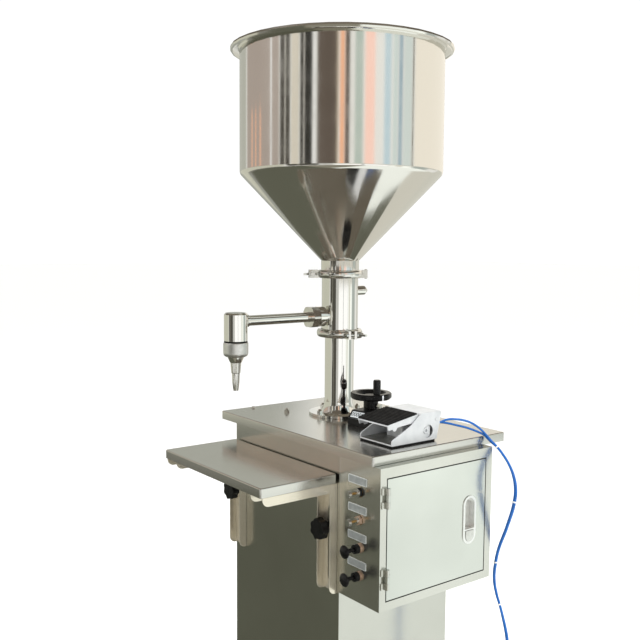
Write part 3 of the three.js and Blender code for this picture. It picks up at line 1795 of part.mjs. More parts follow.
// The whole machine
const machine = new THREE.Group();
const clampTurns = { upper: -122, lower: -14 };
const hingeOuter = hingeAxis.x + hinge.knuckle;
const pieces = [
  piece("pedestal", makePedestal(), darkSteel),
  piece("rear_hatch", makeRearHatch(), satinSteel),
  piece("base_frame", makeBaseFrame(), darkSteel),
  piece("table_top", makeTable(), satinSteel),
  piece("control_cabinet", makeCabinet(), satinSteel),
  piece("cabinet_door", makeDoor(), satinSteel),
  piece("door_button", makePullButton(), polishedSteel),
  piece("main_air_valve", makeAirValve(), aluminium),
  piece("control_block", makeControlBlock(), brass),
  piece("fill_speed_knob", makeNeedleKnob(controlHeights[0]), polishedSteel),
  piece("return_speed_knob", makeNeedleKnob(controlHeights[1]), polishedSteel),
  piece("run_knob", makePlungerKnob(controlHeights[2]), blackPlastic),
  piece("mode_knob", makePlungerKnob(controlHeights[3]), blackPlastic),
  piece("product_cylinder", makeProductCylinder(), polishedSteel),
  piece("lower_gasket", makeGasket(lowerJoint), whiteSeal),
  piece("valve_body", makeValveBody(), polishedSteel),
  piece("upper_gasket", makeGasket(upperJoint), whiteSeal),
  piece("hopper", makeHopper(), polishedSteel),
  piece("upper_clamp", makeClamp(upperJoint, clampTurns.upper), polishedSteel),
  piece("upper_wing_nut", makeWingNut(upperJoint, clampTurns.upper), polishedSteel),
  piece("lower_clamp", makeClamp(lowerJoint, clampTurns.lower), polishedSteel),
  piece("lower_wing_nut", makeWingNut(lowerJoint, clampTurns.lower), polishedSteel),
  piece("union_nut", makeUnionNut(), polishedSteel),
  piece("discharge_arm", makeDischargeArm(), polishedSteel),
  piece("nozzle_ring", makeNozzleRing(), rubber),
  piece("nozzle_collar", makeNozzleCollar(), satinSteel),
  piece("nozzle_tip", makeNozzleTip(), polishedSteel),
  piece("drip_poppet", makeDripPoppet(), polishedSteel),
  piece("drip_spring", makeDripSpring(), satinSteel),
  piece("inlet_poppet", makeInletPoppet(), whiteSeal),
  piece("inlet_spring", makeInletSpring(), satinSteel),
  piece("outlet_poppet", makeOutletPoppet(), whiteSeal),
  piece("product_piston", makeProductPiston(), polishedSteel),
  piece("piston_seal", makePistonSeal(), rubber),
  piece("stop_arm", makeStopArm(), satinSteel),
  piece("air_piston", makeAirPiston(), satinSteel),
  piece("air_cylinder", makeAirCylinder(), aluminium),
  piece("cylinder_carrier", makeCarrier(), satinSteel),
  piece("lead_screw", makeLeadScrew(), satinSteel),
  piece("stop_nut", makeStopNut(), brass),
  piece("handwheel", makeHandwheel(), blackPlastic),
  piece("handwheel_grip", makeGrip(), blackPlastic),
  piece("position_indicator", makeIndicator(), blackPlastic),
  piece("pedal_mat", makePedalMat(), rubber),
  piece("pedal_base", makePedalBase(), aluminium),
  piece("treadle", makeTreadle(), aluminium),
  piece("tread", makeTread(), rubber),
  piece("pedal_valve", makePedalValve(), aluminium),
  piece("pedal_plunger", makePedalPlunger(), brass),
  piece("shelf_tray", makeShelfTray(), satinSteel),
  piece("left_bracket", makeBracket(bracketLefts.left), satinSteel),
  piece("right_bracket", makeBracket(bracketLefts.right), satinSteel),
  piece("left_shelf_knob", makeStarKnob(studCentres()[0]), blackPlastic),
  piece("right_shelf_knob", makeStarKnob(studCentres()[1]), blackPlastic),
  piece("air_unit", makeAirUnit(), smokedBowl),
  piece("regulator_knob", makeRegulatorKnob(), blackPlastic),
  piece("tube_outlet", makeTubeOutlet(), brass),
  piece("foot_tube_a", makeTube(tubeRouteA), blueTube),
  piece("foot_tube_b", makeTube(tubeRouteB), blueTube),
];
machine.add(...pieces);
machine.position.set((rimReach - hingeOuter) / 2, -(rimReach + shelf.front) / 2, tableHeight);

const assembly = new THREE.Group();
assembly.add(machine);

export default assembly;
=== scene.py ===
# Cream filling machine: a polished hopper and pump column on a satin steel pedestal,
# with its control cabinet, shelf and foot valve
import json
import math

import bpy
from mathutils import Matrix, Vector


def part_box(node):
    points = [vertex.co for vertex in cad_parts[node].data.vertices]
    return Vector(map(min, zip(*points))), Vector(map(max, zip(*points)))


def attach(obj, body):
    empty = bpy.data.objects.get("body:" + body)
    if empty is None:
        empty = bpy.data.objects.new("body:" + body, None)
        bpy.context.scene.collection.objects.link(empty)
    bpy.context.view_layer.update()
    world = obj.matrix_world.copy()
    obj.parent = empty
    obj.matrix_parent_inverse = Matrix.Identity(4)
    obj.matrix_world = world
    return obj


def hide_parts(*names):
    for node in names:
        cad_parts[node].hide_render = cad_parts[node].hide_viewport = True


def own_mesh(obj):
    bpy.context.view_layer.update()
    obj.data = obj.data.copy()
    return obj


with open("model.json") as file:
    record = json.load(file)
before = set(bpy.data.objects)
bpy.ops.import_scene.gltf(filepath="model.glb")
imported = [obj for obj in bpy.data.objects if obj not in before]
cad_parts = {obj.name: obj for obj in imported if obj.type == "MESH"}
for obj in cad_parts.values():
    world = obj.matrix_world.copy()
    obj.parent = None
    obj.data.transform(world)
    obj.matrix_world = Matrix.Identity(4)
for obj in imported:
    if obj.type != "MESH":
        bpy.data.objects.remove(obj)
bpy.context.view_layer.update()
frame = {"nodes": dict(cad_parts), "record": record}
mm = 0.001
record = frame["record"]
bodyOf = {node: body for body, members in record["behaviour"]["bodies"].items() for node in members}

# Everything is placed from the foot of the pump column, on the table's top face
hopperLow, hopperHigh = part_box("hopper")
columnFoot = (hopperLow + hopperHigh) / 2
armHeight = 199.3  # mm from the table to the discharge arm's axis, which the union nut is on
columnFoot.z = sum(corner.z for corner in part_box("union_nut")) / 2 - armHeight * mm
print("frame: column foot at", [round(value, 4) for value in columnFoot])


def place(x, y, z):
    # Millimetres from the column's foot to metres in the frame
    return columnFoot + Vector((x, y, z)) * mm


def deselectAll():
    if bpy.context.object and bpy.context.object.mode != "OBJECT":
        bpy.ops.object.mode_set(mode="OBJECT")
    bpy.ops.object.select_all(action="DESELECT")


def pick(piece):
    deselectAll()
    piece.select_set(True)
    bpy.context.view_layer.objects.active = piece
    return piece


def applyModifier(piece, kind, **settings):
    pick(piece)
    modifier = piece.modifiers.new(kind.title(), kind)
    for name, value in settings.items():
        setattr(modifier, name, value)
    bpy.ops.object.modifier_apply(modifier=modifier.name)


facing = 0.9  # share of a face's normal that must lie along an axis for it to face that way


def selectFaces(piece, test):
    # Leaves edit mode open with the faces selected whose centre and normal pass the test
    pick(piece)
    bpy.ops.object.mode_set(mode="EDIT")
    bpy.ops.mesh.select_mode(type="FACE")
    bpy.ops.mesh.select_all(action="DESELECT")
    bpy.ops.object.mode_set(mode="OBJECT")
    for face in piece.data.polygons:
        face.select = bool(test(piece.matrix_world @ face.center, face.normal))
    bpy.ops.object.mode_set(mode="EDIT")


def finishPiece(piece, name, material, body, smooth=35):
    pick(piece)
    bpy.ops.object.transform_apply(location=True, rotation=True, scale=True)
    bpy.ops.object.shade_smooth_by_angle(angle=math.radians(smooth))
    piece.name = name
    if not piece.data.materials:
        piece.data.materials.append(material)
    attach(piece, body)
    return piece


def paintFaces(piece, material, test):
    # A second finish on part of a piece, such as a steel screw in a plastic wheel
    piece.data.materials.append(material)
    index = len(piece.data.materials) - 1
    for face in piece.data.polygons:
        if test(face.center):
            face.material_index = index


# Colours are written as sRGB hex and turned into linear light
def linearColour(hexText):
    parts = [int(hexText[i : i + 2], 16) / 255 for i in (0, 2, 4)]
    return [p / 12.92 if p <= 0.04045 else ((p + 0.055) / 1.055) ** 2.4 for p in parts] + [1]


def addNode(tree, kind, settings=None, links=None):
    node = tree.nodes.new(kind)
    for name, value in (settings or {}).items():
        if isinstance(name, int) or name in node.inputs:
            node.inputs[name].default_value = value
        else:
            setattr(node, name, value)
    for name, source in (links or {}).items():
        tree.links.new(source, node.inputs[name])
    return node


def startMaterial(name, colour, metallic, roughness, **settings):
    material = bpy.data.materials.new(name)
    material.use_nodes = True
    tree = material.node_tree
    shader = tree.nodes["Principled BSDF"]
    shader.inputs["Base Color"].default_value = linearColour(colour)
    shader.inputs["Metallic"].default_value = metallic
    shader.inputs["Roughness"].default_value = roughness
    for socket, value in settings.items():
        shader.inputs[socket].default_value = value
    position = addNode(tree, "ShaderNodeTexCoord").outputs["Object"]
    return material, tree, shader, position


# Noise keeps to the middle of its range, so these limits are stretched to the whole span
noiseSpan = {"roughness": (0.3, 0.7), "colour": (0.35, 0.65)}


def roughnessBetween(tree, shader, source, low, high):
    start, end = noiseSpan["roughness"]
    spread = addNode(
        tree,
        "ShaderNodeMapRange",
        {"From Min": start, "From Max": end, "To Min": low, "To Max": high},
        {"Value": source},
    )
    tree.links.new(spread.outputs["Result"], shader.inputs["Roughness"])


def bumpFrom(tree, shader, source, depthMm, strength):
    bump = addNode(
        tree, "ShaderNodeBump", {"Distance": depthMm * mm, "Strength": strength}, {"Height": source}
    )
    tree.links.new(bump.outputs["Normal"], shader.inputs["Normal"])


def colourBetween(tree, shader, source, first, second):
    ramp = addNode(tree, "ShaderNodeValToRGB", None, {"Fac": source})
    stops = zip(ramp.color_ramp.elements, noiseSpan["colour"], (first, second))
    for element, spot, colour in stops:
        element.position = spot
        element.color = linearColour(colour)
    tree.links.new(ramp.outputs["Color"], shader.inputs["Base Color"])


def noise(tree, position, sizeMm, detail=3):
    return addNode(
        tree,
        "ShaderNodeTexNoise",
        {"Scale": 1 / (sizeMm * mm), "Detail": detail},
        {"Vector": position},
    ).outputs["Fac"]


mirrorFinish = {  # in mm, but for detail and strength
    "smudge": 38,
    "wave": 110,
    "waveDepth": 0.06,
    "waveDetail": 1,
    "waveStrength": 0.35,
}


# Austenitic stainless steel, spun and buffed: clear reflections with faint smudges and slow waves
def makeMirrorSteel(name, colour, low, high):
    material, tree, shader, position = startMaterial(name, colour, 1, low)
    roughnessBetween(tree, shader, noise(tree, position, mirrorFinish["smudge"]), low, high)
    wave = noise(tree, position, mirrorFinish["wave"], mirrorFinish["waveDetail"])
    bumpFrom(tree, shader, wave, mirrorFinish["waveDepth"], mirrorFinish["waveStrength"])
    return material


# The real grit lines stand about 0.2 mm apart; they are drawn coarser so that they show
brushFinish = {
    "line": 0.7,
    "length": 120,
    "cloud": 220,
    "depth": 0.004,
    "detail": 4,
    "lineRoughness": 0.6,
    "spread": 0.03,
    "strength": 0.3,
}


# Stainless sheet brushed along one axis: a soft glow drawn out across the grit lines
def makeBrushedSteel(name, dark, light, roughness, along, metallic=1):
    b = brushFinish
    material, tree, shader, position = startMaterial(name, light, metallic, roughness)
    stretch = [1 / (b["line"] * mm)] * 3
    stretch["xyz".index(along)] = 1 / (b["length"] * mm)
    lines = addNode(tree, "ShaderNodeMapping", {"Scale": stretch}, {"Vector": position})
    grit = addNode(
        tree,
        "ShaderNodeTexNoise",
        {"Scale": 1, "Detail": b["detail"], "Roughness": b["lineRoughness"]},
        {"Vector": lines.outputs["Vector"]},
    ).outputs["Fac"]
    roughnessBetween(tree, shader, grit, roughness - b["spread"], roughness + b["spread"])
    colourBetween(tree, shader, noise(tree, position, b["cloud"], b["detail"]), dark, light)
    bumpFrom(tree, shader, grit, b["depth"], b["strength"])
    return material


# Patches of another tone, and of wear, are so many times as wide as the grain
metalFinish = {"patch": 12, "detail": 5, "smoother": 0.05, "rougher": 0.07, "strength": 0.4}
mouldedFinish = {
    "patch": 20,
    "wear": 15,
    "detail": 4,
    "smoother": 0.06,
    "rougher": 0.09,
    "strength": 0.4,
}


# Machined or cast metal with fine even grain
def makeMetal(name, dark, light, roughness, grainMm, depthMm, metallic=1):
    m = metalFinish
    material, tree, shader, position = startMaterial(name, light, metallic, roughness)
    grain = noise(tree, position, grainMm, m["detail"])
    roughnessBetween(tree, shader, grain, roughness - m["smoother"], roughness + m["rougher"])
    colourBetween(tree, shader, noise(tree, position, grainMm * m["patch"]), dark, light)
    bumpFrom(tree, shader, grain, depthMm, m["strength"])
    return material


# Moulded plastics and rubber: the grain of the mould, and a little wear
def makeMoulded(name, dark, light, roughness, grainMm, depthMm, **settings):
    m = mouldedFinish
    material, tree, shader, position = startMaterial(name, light, 0, roughness, **settings)
    wear = noise(tree, position, grainMm * m["wear"])
    roughnessBetween(tree, shader, wear, roughness - m["smoother"], roughness + m["rougher"])
    colourBetween(tree, shader, noise(tree, position, grainMm * m["patch"]), dark, light)
    bumpFrom(tree, shader, noise(tree, position, grainMm, m["detail"]), depthMm, m["strength"])
    return material


mirrorSteel = makeMirrorSteel("mirrorStainless", "E4E3DE", 0.05, 0.09)
spunSteel = makeMirrorSteel("spunStainless", "E4E2DC", 0.085, 0.13)
clampSteel = makeMetal("tumbledStainless", "D3D2CC", "DEDDD8", 0.13, 1.2, 0.01)
turnedSteel = makeMetal("turnedStainless", "CFCFCB", "DCDCD8", 0.20, 0.8, 0.008)
tipSteel = makeMirrorSteel("polishedNozzle", "DEDDD8", 0.13, 0.18)
blastedSteel = makeMetal("beadBlastedStainless", "CFD0CD", "DADBD8", 0.36, 0.5, 0.01)
sheetAlongX = makeBrushedSteel("sheetStainlessLong", "CBCAC5", "D3D2CD", 0.19, "x")
sheetAlongZ = makeBrushedSteel("sheetStainlessTall", "C4C4BD", "CDCDC6", 0.18, "z")
cabinetSteel = makeBrushedSteel("sheetStainlessCabinet", "CBCBC4", "D5D5CE", 0.24, "z")
sheetAlongY = makeBrushedSteel("sheetStainlessDeep", "CDD0CA", "D6D9D3", 0.20, "y")
channelSteel = makeBrushedSteel("brightChannelSteel", "D8D1C1", "E2DBCB", 0.24, "z", 0.85)
frameSteel = makeMetal("pickledFrameSteel", "8E8E89", "A3A39E", 0.42, 2.0, 0.03)
pullSteel = makeMetal("satinPullPlate", "E6E7E5", "EFEFED", 0.34, 0.6, 0.01)
turnedBrass = makeMetal("turnedBrass", "B08A52", "C9A368", 0.28, 1.2, 0.01)
rosyBrass = makeMetal("rosyBrassNut", "C4A58E", "D8BCA6", 0.34, 1.2, 0.01, 0.8)
paintedAluminium = makeMoulded(
    "paintedCastAluminium", "C9CCCE", "D4D6D8", 0.36, 0.9, 0.012, **{"Metallic": 0.4}
)
drawnAluminium = makeMetal("anodisedTube", "B9BBBC", "C8CACB", 0.35, 1.5, 0.01)
darker = {"Specular IOR Level": 0.3}
blackPlastic = makeMoulded("blackPhenolic", "060607", "0D0D0E", 0.24, 1.2, 0.01, **darker)
blackNylon = makeMoulded("blackNylon", "08090A", "101112", 0.38, 0.8, 0.02, **darker)
blackRubber = makeMoulded("blackRubber", "070708", "101011", 0.6, 1.0, 0.04, **darker)
sealPlastic = makeMoulded("whiteSeal", "DEDCD4", "EAE8E1", 0.42, 1.5, 0.01)
tubePlastic = makeMoulded(
    "bluePolyurethane", "0657A6", "0D63B4", 0.26, 3.0, 0.01, **{"Coat Weight": 0.3}
)
tiePlastic = makeMoulded("whiteNylonTie", "DFE3E6", "EEF0F2", 0.35, 1.0, 0.01)
bowlPlastic = makeMoulded("smokyBowl", "7E8785", "8F9795", 0.22, 2.0, 0.01, **{"Coat Weight": 0.4})
labelMetal = makeMoulded(
    "etchedLabelPlate", "B4B7B5", "C0C3C1", 0.4, 0.6, 0.005, **{"Metallic": 0.35}
)
labelField = makeMoulded(
    "etchedLabelField", "7B7F7D", "8A8E8C", 0.45, 0.6, 0.005, **{"Metallic": 0.3}
)
windowPlastic = makeMoulded("indicatorWindow", "B4BABC", "C6CBCC", 0.14, 2.0, 0.005)
inkBlack = makeMoulded("printedBlack", "131416", "1B1C1E", 0.5, 0.5, 0.005)
print("materials made:", len(bpy.data.materials))

# The frame's own pieces, with their edges broken and their round faces smooth: finish, edge
# radius in mm, and the largest angle between faces that is still shaded smooth
finishes = {
    "pedestal": (sheetAlongZ, 1.2, 30),
    "rear_hatch": (sheetAlongZ, 0.4, 30),
    "base_frame": (frameSteel, 0.5, 30),
    "table_top": (sheetAlongX, 0.8, 30),
    "control_cabinet": (cabinetSteel, 0.6, 30),
    "cabinet_door": (sheetAlongY, 0.7, 30),
    "door_button": (turnedSteel, 0.4, 30),
    "main_air_valve": (paintedAluminium, 0.5, 30),
    "control_block": (turnedBrass, 0.2, 38),
    "fill_speed_knob": (turnedSteel, 0.2, 38),
    "return_speed_knob": (turnedSteel, 0.2, 38),
    "run_knob": (blackPlastic, 0.3, 38),
    "mode_knob": (blackPlastic, 0.3, 38),
    "product_cylinder": (mirrorSteel, 0.3, 30),
    "lower_gasket": (sealPlastic, 0.1, 30),
    "valve_body": (mirrorSteel, 0.3, 30),
    "upper_gasket": (sealPlastic, 0.1, 30),
    "hopper": (spunSteel, 0.0, 30),
    "upper_clamp": (clampSteel, 0.4, 38),
    "upper_wing_nut": (turnedSteel, 0.4, 38),
    "lower_clamp": (clampSteel, 0.4, 38),
    "lower_wing_nut": (turnedSteel, 0.4, 38),
    "union_nut": (clampSteel, 0.4, 30),
    "discharge_arm": (mirrorSteel, 0.3, 30),
    "nozzle_ring": (blackRubber, 0.1, 30),
    "nozzle_collar": (blastedSteel, 0.3, 30),
    "nozzle_tip": (tipSteel, 0.2, 30),
    "drip_poppet": (mirrorSteel, 0.1, 38),
    "drip_spring": (turnedSteel, 0.0, 70),
    "inlet_poppet": (sealPlastic, 0.1, 38),
    "inlet_spring": (turnedSteel, 0.0, 70),
    "outlet_poppet": (sealPlastic, 0.1, 38),
    "product_piston": (mirrorSteel, 0.2, 38),
    "piston_seal": (blackRubber, 0.1, 30),
    "stop_arm": (frameSteel, 0.4, 38),
    "air_piston": (drawnAluminium, 0.3, 38),
    "air_cylinder": (drawnAluminium, 0.4, 38),
    "cylinder_carrier": (frameSteel, 0.4, 38),
    "lead_screw": (turnedSteel, 0.2, 38),
    "stop_nut": (turnedBrass, 0.3, 38),
    "handwheel": (blackPlastic, 0.6, 38),
    "handwheel_grip": (blackPlastic, 0.4, 38),
    "position_indicator": (blackNylon, 0.6, 30),
    "pedal_mat": (blackRubber, 0.3, 30),
    "pedal_base": (paintedAluminium, 0.5, 30),
    "treadle": (paintedAluminium, 0.4, 38),
    "tread": (blackRubber, 0.3, 30),
    "pedal_valve": (paintedAluminium, 0.3, 38),
    "pedal_plunger": (turnedBrass, 0.2, 38),
    "shelf_tray": (sheetAlongX, 0.7, 30),
    "left_bracket": (channelSteel, 0.5, 30),
    "right_bracket": (channelSteel, 0.5, 30),
    "left_shelf_knob": (blackPlastic, 0.5, 30),
    "right_shelf_knob": (blackPlastic, 0.5, 30),
    "air_unit": (bowlPlastic, 0.5, 38),
    "regulator_knob": (blackPlastic, 0.4, 38),
    "tube_outlet": (turnedBrass, 0.2, 38),
}


dressing = {
    "merge": 0.002,  # mm between points that become one
    "flat": 0.4,  # degrees between faces that become one
    "edgeSteps": 2,
    "pastSmooth": 2,  # degrees past the smooth angle from which an edge is broken
    "faceWeight": 90,
}


def dressNode(node, material, edgeMm, smooth):
    d = dressing
    piece = bpy.data.objects.new("finished_" + node, frame["nodes"][node].data.copy())
    bpy.context.scene.collection.objects.link(piece)
    piece.data.materials.clear()
    pick(piece)
    bpy.ops.object.mode_set(mode="EDIT")
    bpy.ops.mesh.select_all(action="SELECT")
    bpy.ops.mesh.remove_doubles(threshold=d["merge"] * mm)
    bpy.ops.mesh.dissolve_limited(angle_limit=math.radians(d["flat"]))
    bpy.ops.object.mode_set(mode="OBJECT")
    if edgeMm:
        applyModifier(
            piece,
            "BEVEL",
            width=edgeMm * mm,
            segments=d["edgeSteps"],
            limit_method="ANGLE",
            angle_limit=math.radians(smooth + d["pastSmooth"]),
            use_clamp_overlap=True,
            harden_normals=False,
        )
    finishPiece(piece, "finished_" + node, material, bodyOf[node], smooth)
    # Broad faces keep their own direction, so that only the broken edges between them curve
    applyModifier(piece, "WEIGHTED_NORMAL", keep_sharp=True, weight=d["faceWeight"])
    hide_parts(node)
    return piece


dressed = {node: dressNode(node, *values) for node, values in finishes.items()}
print("frame pieces finished:", len(dressed))

# Springs, which shorten in the real pump: joint, height of the end that stays still in metres in the
# frame, and how far the other end travels in mm. Here each is only given a mesh of its own; nothing
# makes it shorten
springs = {
    "drip_spring": ("drip_lift", 1.0403, 8),
    "inlet_spring": ("inlet_drop", 1.08, 7),
}
for node, (joint, stillHeight, travel) in springs.items():
    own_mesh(dressed[node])
print("springs set to shorten:", len(springs))

# Second finishes on parts of those pieces, and painted shade on the pedal base's floor, in mm from
# the column's foot
cabinetFace = -175.7  # the front wall of the control cabinet
fittings = {
    "top": -90.6,  # height between the first two fittings
    "middle": -138,  # height between the needle valves and the plunger valves
    "behind": -1,  # distances in front of the cabinet's face
    "rosyBand": 3.6,
    "needleNut": 5.6,
    "needleNeck": 10,
    "reach": 40,
    "slack": 0.1,
}
doorPull = {"outside": 310, "middle": (33.5, -140), "half": (16.6, 44)}  # y, then height
handwheelAxis = (106, -6)
wheelAxis = place(*handwheelAxis, 0)
hubScrew = {"highest": 46, "hubClear": 15.2}  # the steel clamp screw in the handwheel's hub
# Height below which the pedal base's floor is darkened as painted shade
pedalShadeFloorTop = 6.5


def onFitting(centre, nearest, farthest):
    # Between two distances in front of the cabinet's face
    return cabinetFace - farthest < (centre.y - columnFoot.y) / mm < cabinetFace - nearest


def heightOf(centre):
    return (centre.z - columnFoot.z) / mm


def finishControls():
    f = fittings
    nutFront = f["needleNut"] - f["slack"]
    controls = dressed["control_block"]
    pick(controls)
    bpy.ops.object.mode_set(mode="EDIT")
    bpy.ops.mesh.select_all(action="SELECT")
    bpy.ops.mesh.bisect(plane_co=place(0, cabinetFace - f["rosyBand"], 0), plane_no=(0, 1, 0))
    bpy.ops.object.mode_set(mode="OBJECT")
    paintFaces(
        controls,
        blackNylon,
        lambda c: (onFitting(c, f["behind"], f["needleNut"]) and heightOf(c) > f["top"])
        or (onFitting(c, f["rosyBand"], f["reach"]) and heightOf(c) < f["middle"]),
    )
    paintFaces(
        controls,
        rosyBrass,
        lambda c: (onFitting(c, f["behind"], nutFront) and f["middle"] < heightOf(c) < f["top"])
        or (onFitting(c, f["behind"], f["rosyBand"]) and heightOf(c) < f["middle"]),
    )
    paintFaces(
        controls,
        turnedSteel,
        lambda c: onFitting(c, nutFront, f["needleNeck"]) and heightOf(c) > f["middle"],
    )


finishControls()
paintFaces(
    dressed["cabinet_door"],
    pullSteel,
    lambda c: (c.x - columnFoot.x) / mm > doorPull["outside"]
    and abs((c.y - columnFoot.y) / mm - doorPull["middle"][0]) < doorPull["half"][0]
    and abs(heightOf(c) - doorPull["middle"][1]) < doorPull["half"][1],
)
paintFaces(
    dressed["handwheel"],
    clampSteel,
    lambda c: heightOf(c) < hubScrew["highest"]
    and math.hypot(c.x - wheelAxis.x, c.y - wheelAxis.y) > hubScrew["hubClear"] * mm,
)
# Painted shade: the pedal base's floor takes the darker frame steel, standing in for the dark hollow
# under the pedal housing
paintFaces(dressed["pedal_base"], frameSteel, lambda c: heightOf(c) < pedalShadeFloorTop)
print("second finishes painted")

# The foot valve's two air tubes, each a route of points from its port to the outlet block
airTubes = {
    "diameter": 4,
    "steps": 8,
    "roundSteps": 5,
    "routes": {
        "blueTubeA": [
            (278, 1.2, 28.5), (278.2, 9, 28.8), (281.6, 17, 32), (286.5, 25, 33.6), (291, 33, 33.2),
            (295.3, 45, 31.2), (300.5, 56, 27.7), (306.6, 66, 21.9), (313, 76, 13), (318.2, 83, 4.2),
            (325.5, 90, -7), (335.5, 95.5, -17.5), (347.2, 99.5, -31), (358, 102, -45.5),
            (367, 104, -63), (372.5, 105, -85), (371.3, 105, -109.3), (355.8, 105, -159.7),
            (336.1, 105, -210.8), (331.6, 105, -232.1), (328.9, 105, -264.8), (335, 105, -291.6),
            (343.6, 104, -308.2), (358.4, 103, -343.6), (365.6, 102, -366), (371, 101, -410),
            (370, 99, -460), (362, 95, -510), (345, 90, -555), (318, 82, -592), (286, 75, -609),
            (266, 73, -612), (250.3, 73, -612),
        ],
        "blueTubeB": [
            (267, 1.2, 26), (267.4, 9, 26.2), (273, 17, 26.4), (281, 27, 24.6), (289, 38, 21.4),
            (297.5, 52, 17.4), (304, 63, 13), (309, 73, 8.4), (314, 83, 2.6), (321, 92, -8.5),
            (331.5, 98.5, -18.5), (343.2, 102.5, -31.5), (354, 105, -46), (362.8, 106.4, -63.5),
            (368.1, 106.6, -85.5), (366.9, 106.6, -109.5), (351.4, 107.4, -159.8),
            (332, 107.6, -210.8), (327.5, 107.2, -232.1), (324.8, 107.2, -265),
            (330.8, 107.8, -292.5), (339.4, 107, -309.2), (354, 105.4, -344.6),
            (361.2, 103.6, -366.5), (366.4, 101.8, -410), (365.4, 99, -459), (357.6, 94, -507.5),
            (341, 88, -551), (315, 76, -587), (285, 63, -606), (266, 59, -612), (250.3, 59, -612),
        ],
    },
    "nodes": {"blueTubeA": "foot_tube_a", "blueTubeB": "foot_tube_b"},
}

# White ties round the two tubes
tubeTies = {
    "spots": [  # middle of tube A, then of tube B
        ((335.0, 95.3, -16.9), (331.5, 98.5, -18.5)),
        ((370.9, 105.0, -111.2), (366.5, 106.6, -111.4)),
        ((331.4, 105.0, -233.5), (327.1, 107.2, -234.9)),
        ((343.6, 104.0, -308.2), (340.0, 106.9, -310.6)),
    ],
    "directions": [(0.55, 0.2, -0.81), (-0.2, 0, -0.98), (-0.05, 0.02, -1), (0.4, -0.03, -0.9)],
    "strap": 2.6,
    "thickness": 0.7,
    "slack": 0.35,
    "head": (4.2, 3.4, 3.6),
    "headRise": 1.6,
    "headEdge": 0.5,
    "sides": 28,
}


def makeTie(index):
    t = tubeTies
    first, second = (place(*spot) for spot in t["spots"][index])
    across = (second - first).normalized()
    along = Vector(t["directions"][index]).normalized()
    along = (along - along.dot(across) * across).normalized()
    outward = along.cross(across)
    radius = airTubes["diameter"] / 2 * mm + t["slack"] * mm
    deselectAll()
    bpy.ops.mesh.primitive_cylinder_add(
        vertices=t["sides"], radius=1, depth=t["strap"] * mm, end_fill_type="NOTHING"
    )
    strap = bpy.context.object
    strap.scale = (radius + (second - first).length / 2, radius, 1)
    bpy.ops.object.transform_apply(location=False, rotation=False, scale=True)
    applyModifier(strap, "SOLIDIFY", thickness=t["thickness"] * mm, offset=1)
    deselectAll()
    bpy.ops.mesh.primitive_cube_add(
        size=mm, location=(0, radius + t["headRise"] * mm, 0), scale=t["head"]
    )
    lock = bpy.context.object
    applyModifier(lock, "BEVEL", width=t["headEdge"] * mm, segments=2)
    pick(strap)
    lock.select_set(True)
    bpy.ops.object.join()
    strap.matrix_world = Matrix.Translation((first + second) / 2) @ Matrix(
        (across, outward, along)
    ).transposed().to_4x4()
    return finishPiece(strap, f"tubeTie{index}", tiePlastic, "frame", 40)


def makeTube(name):
    curve = bpy.data.curves.new(name, "CURVE")
    curve.dimensions = "3D"
    curve.resolution_u = airTubes["steps"]
    curve.bevel_depth = airTubes["diameter"] / 2 * mm
    curve.bevel_resolution = airTubes["roundSteps"]
    curve.use_fill_caps = True
    route = airTubes["routes"][name]
    spline = curve.splines.new("BEZIER")
    spline.bezier_points.add(len(route) - 1)
    for point, spot in zip(spline.bezier_points, route):
        point.co = place(*spot)
        point.handle_left_type = point.handle_right_type = "AUTO"
    tube = bpy.data.objects.new(name, curve)
    bpy.context.scene.collection.objects.link(tube)
    bpy.context.view_layer.update()
    curve.materials.append(tubePlastic)
    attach(tube, "frame")
    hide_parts(airTubes["nodes"][name])
    return tube


tubes = {name: makeTube(name) for name in airTubes["routes"]}
ties = [makeTie(index) for index in range(len(tubeTies["spots"]))]
print("air tubes laid:", len(tubes), "with", len(ties), "ties")

# Blank label plates beside the four controls
labelPlates = {
    "size": (47, 1.0, 13.5),
    "centreX": 271.5,
    "heights": [-48, -96.3, -143.5, -190],
    "corner": 1.8,
    "cornerSteps": 4,
    "rim": 1.0,
    "field": 0.3,
    "edge": 0.12,
}


def makeLabelPlate():
    p = labelPlates
    deselectAll()
    bpy.ops.mesh.primitive_cube_add(size=1, scale=[side * mm for side in p["size"]])
    plate = bpy.context.object
    bpy.ops.object.transform_apply(scale=True)
    bpy.ops.object.mode_set(mode="EDIT")
    bpy.ops.mesh.select_mode(type="EDGE")
    bpy.ops.mesh.select_all(action="DESELECT")
    bpy.ops.object.mode_set(mode="OBJECT")
    for edge in plate.data.edges:
        ends = [plate.data.vertices[index].co for index in edge.vertices]
        edge.select = abs(ends[0].y - ends[1].y) > p["size"][1] / 2 * mm
    bpy.ops.object.mode_set(mode="EDIT")
    bpy.ops.mesh.bevel(offset=p["corner"] * mm, segments=p["cornerSteps"])
    bpy.ops.object.mode_set(mode="OBJECT")
    selectFaces(plate, lambda centre, normal: normal.y < -facing)
    bpy.ops.mesh.inset(thickness=p["rim"] * mm)
    bpy.ops.mesh.extrude_region_move(TRANSFORM_OT_translate={"value": (0, p["field"] * mm, 0)})
    bpy.ops.object.mode_set(mode="OBJECT")
    applyModifier(plate, "BEVEL", width=p["edge"] * mm, segments=2, limit_method="ANGLE")
    plate.data.materials.append(labelMetal)
    fieldLevel = (p["field"] - p["size"][1] / 2) * mm
    paintFaces(
        plate,
        labelField,
        lambda c: abs(c.y - fieldLevel) < p["field"] / 2 * mm and abs(c.x) < p["size"][0] / 2 * mm,
    )
    return plate


def copyOf(piece):
    twin = piece.copy()
    twin.data = piece.data.copy()
    bpy.context.scene.collection.objects.link(twin)
    return twin


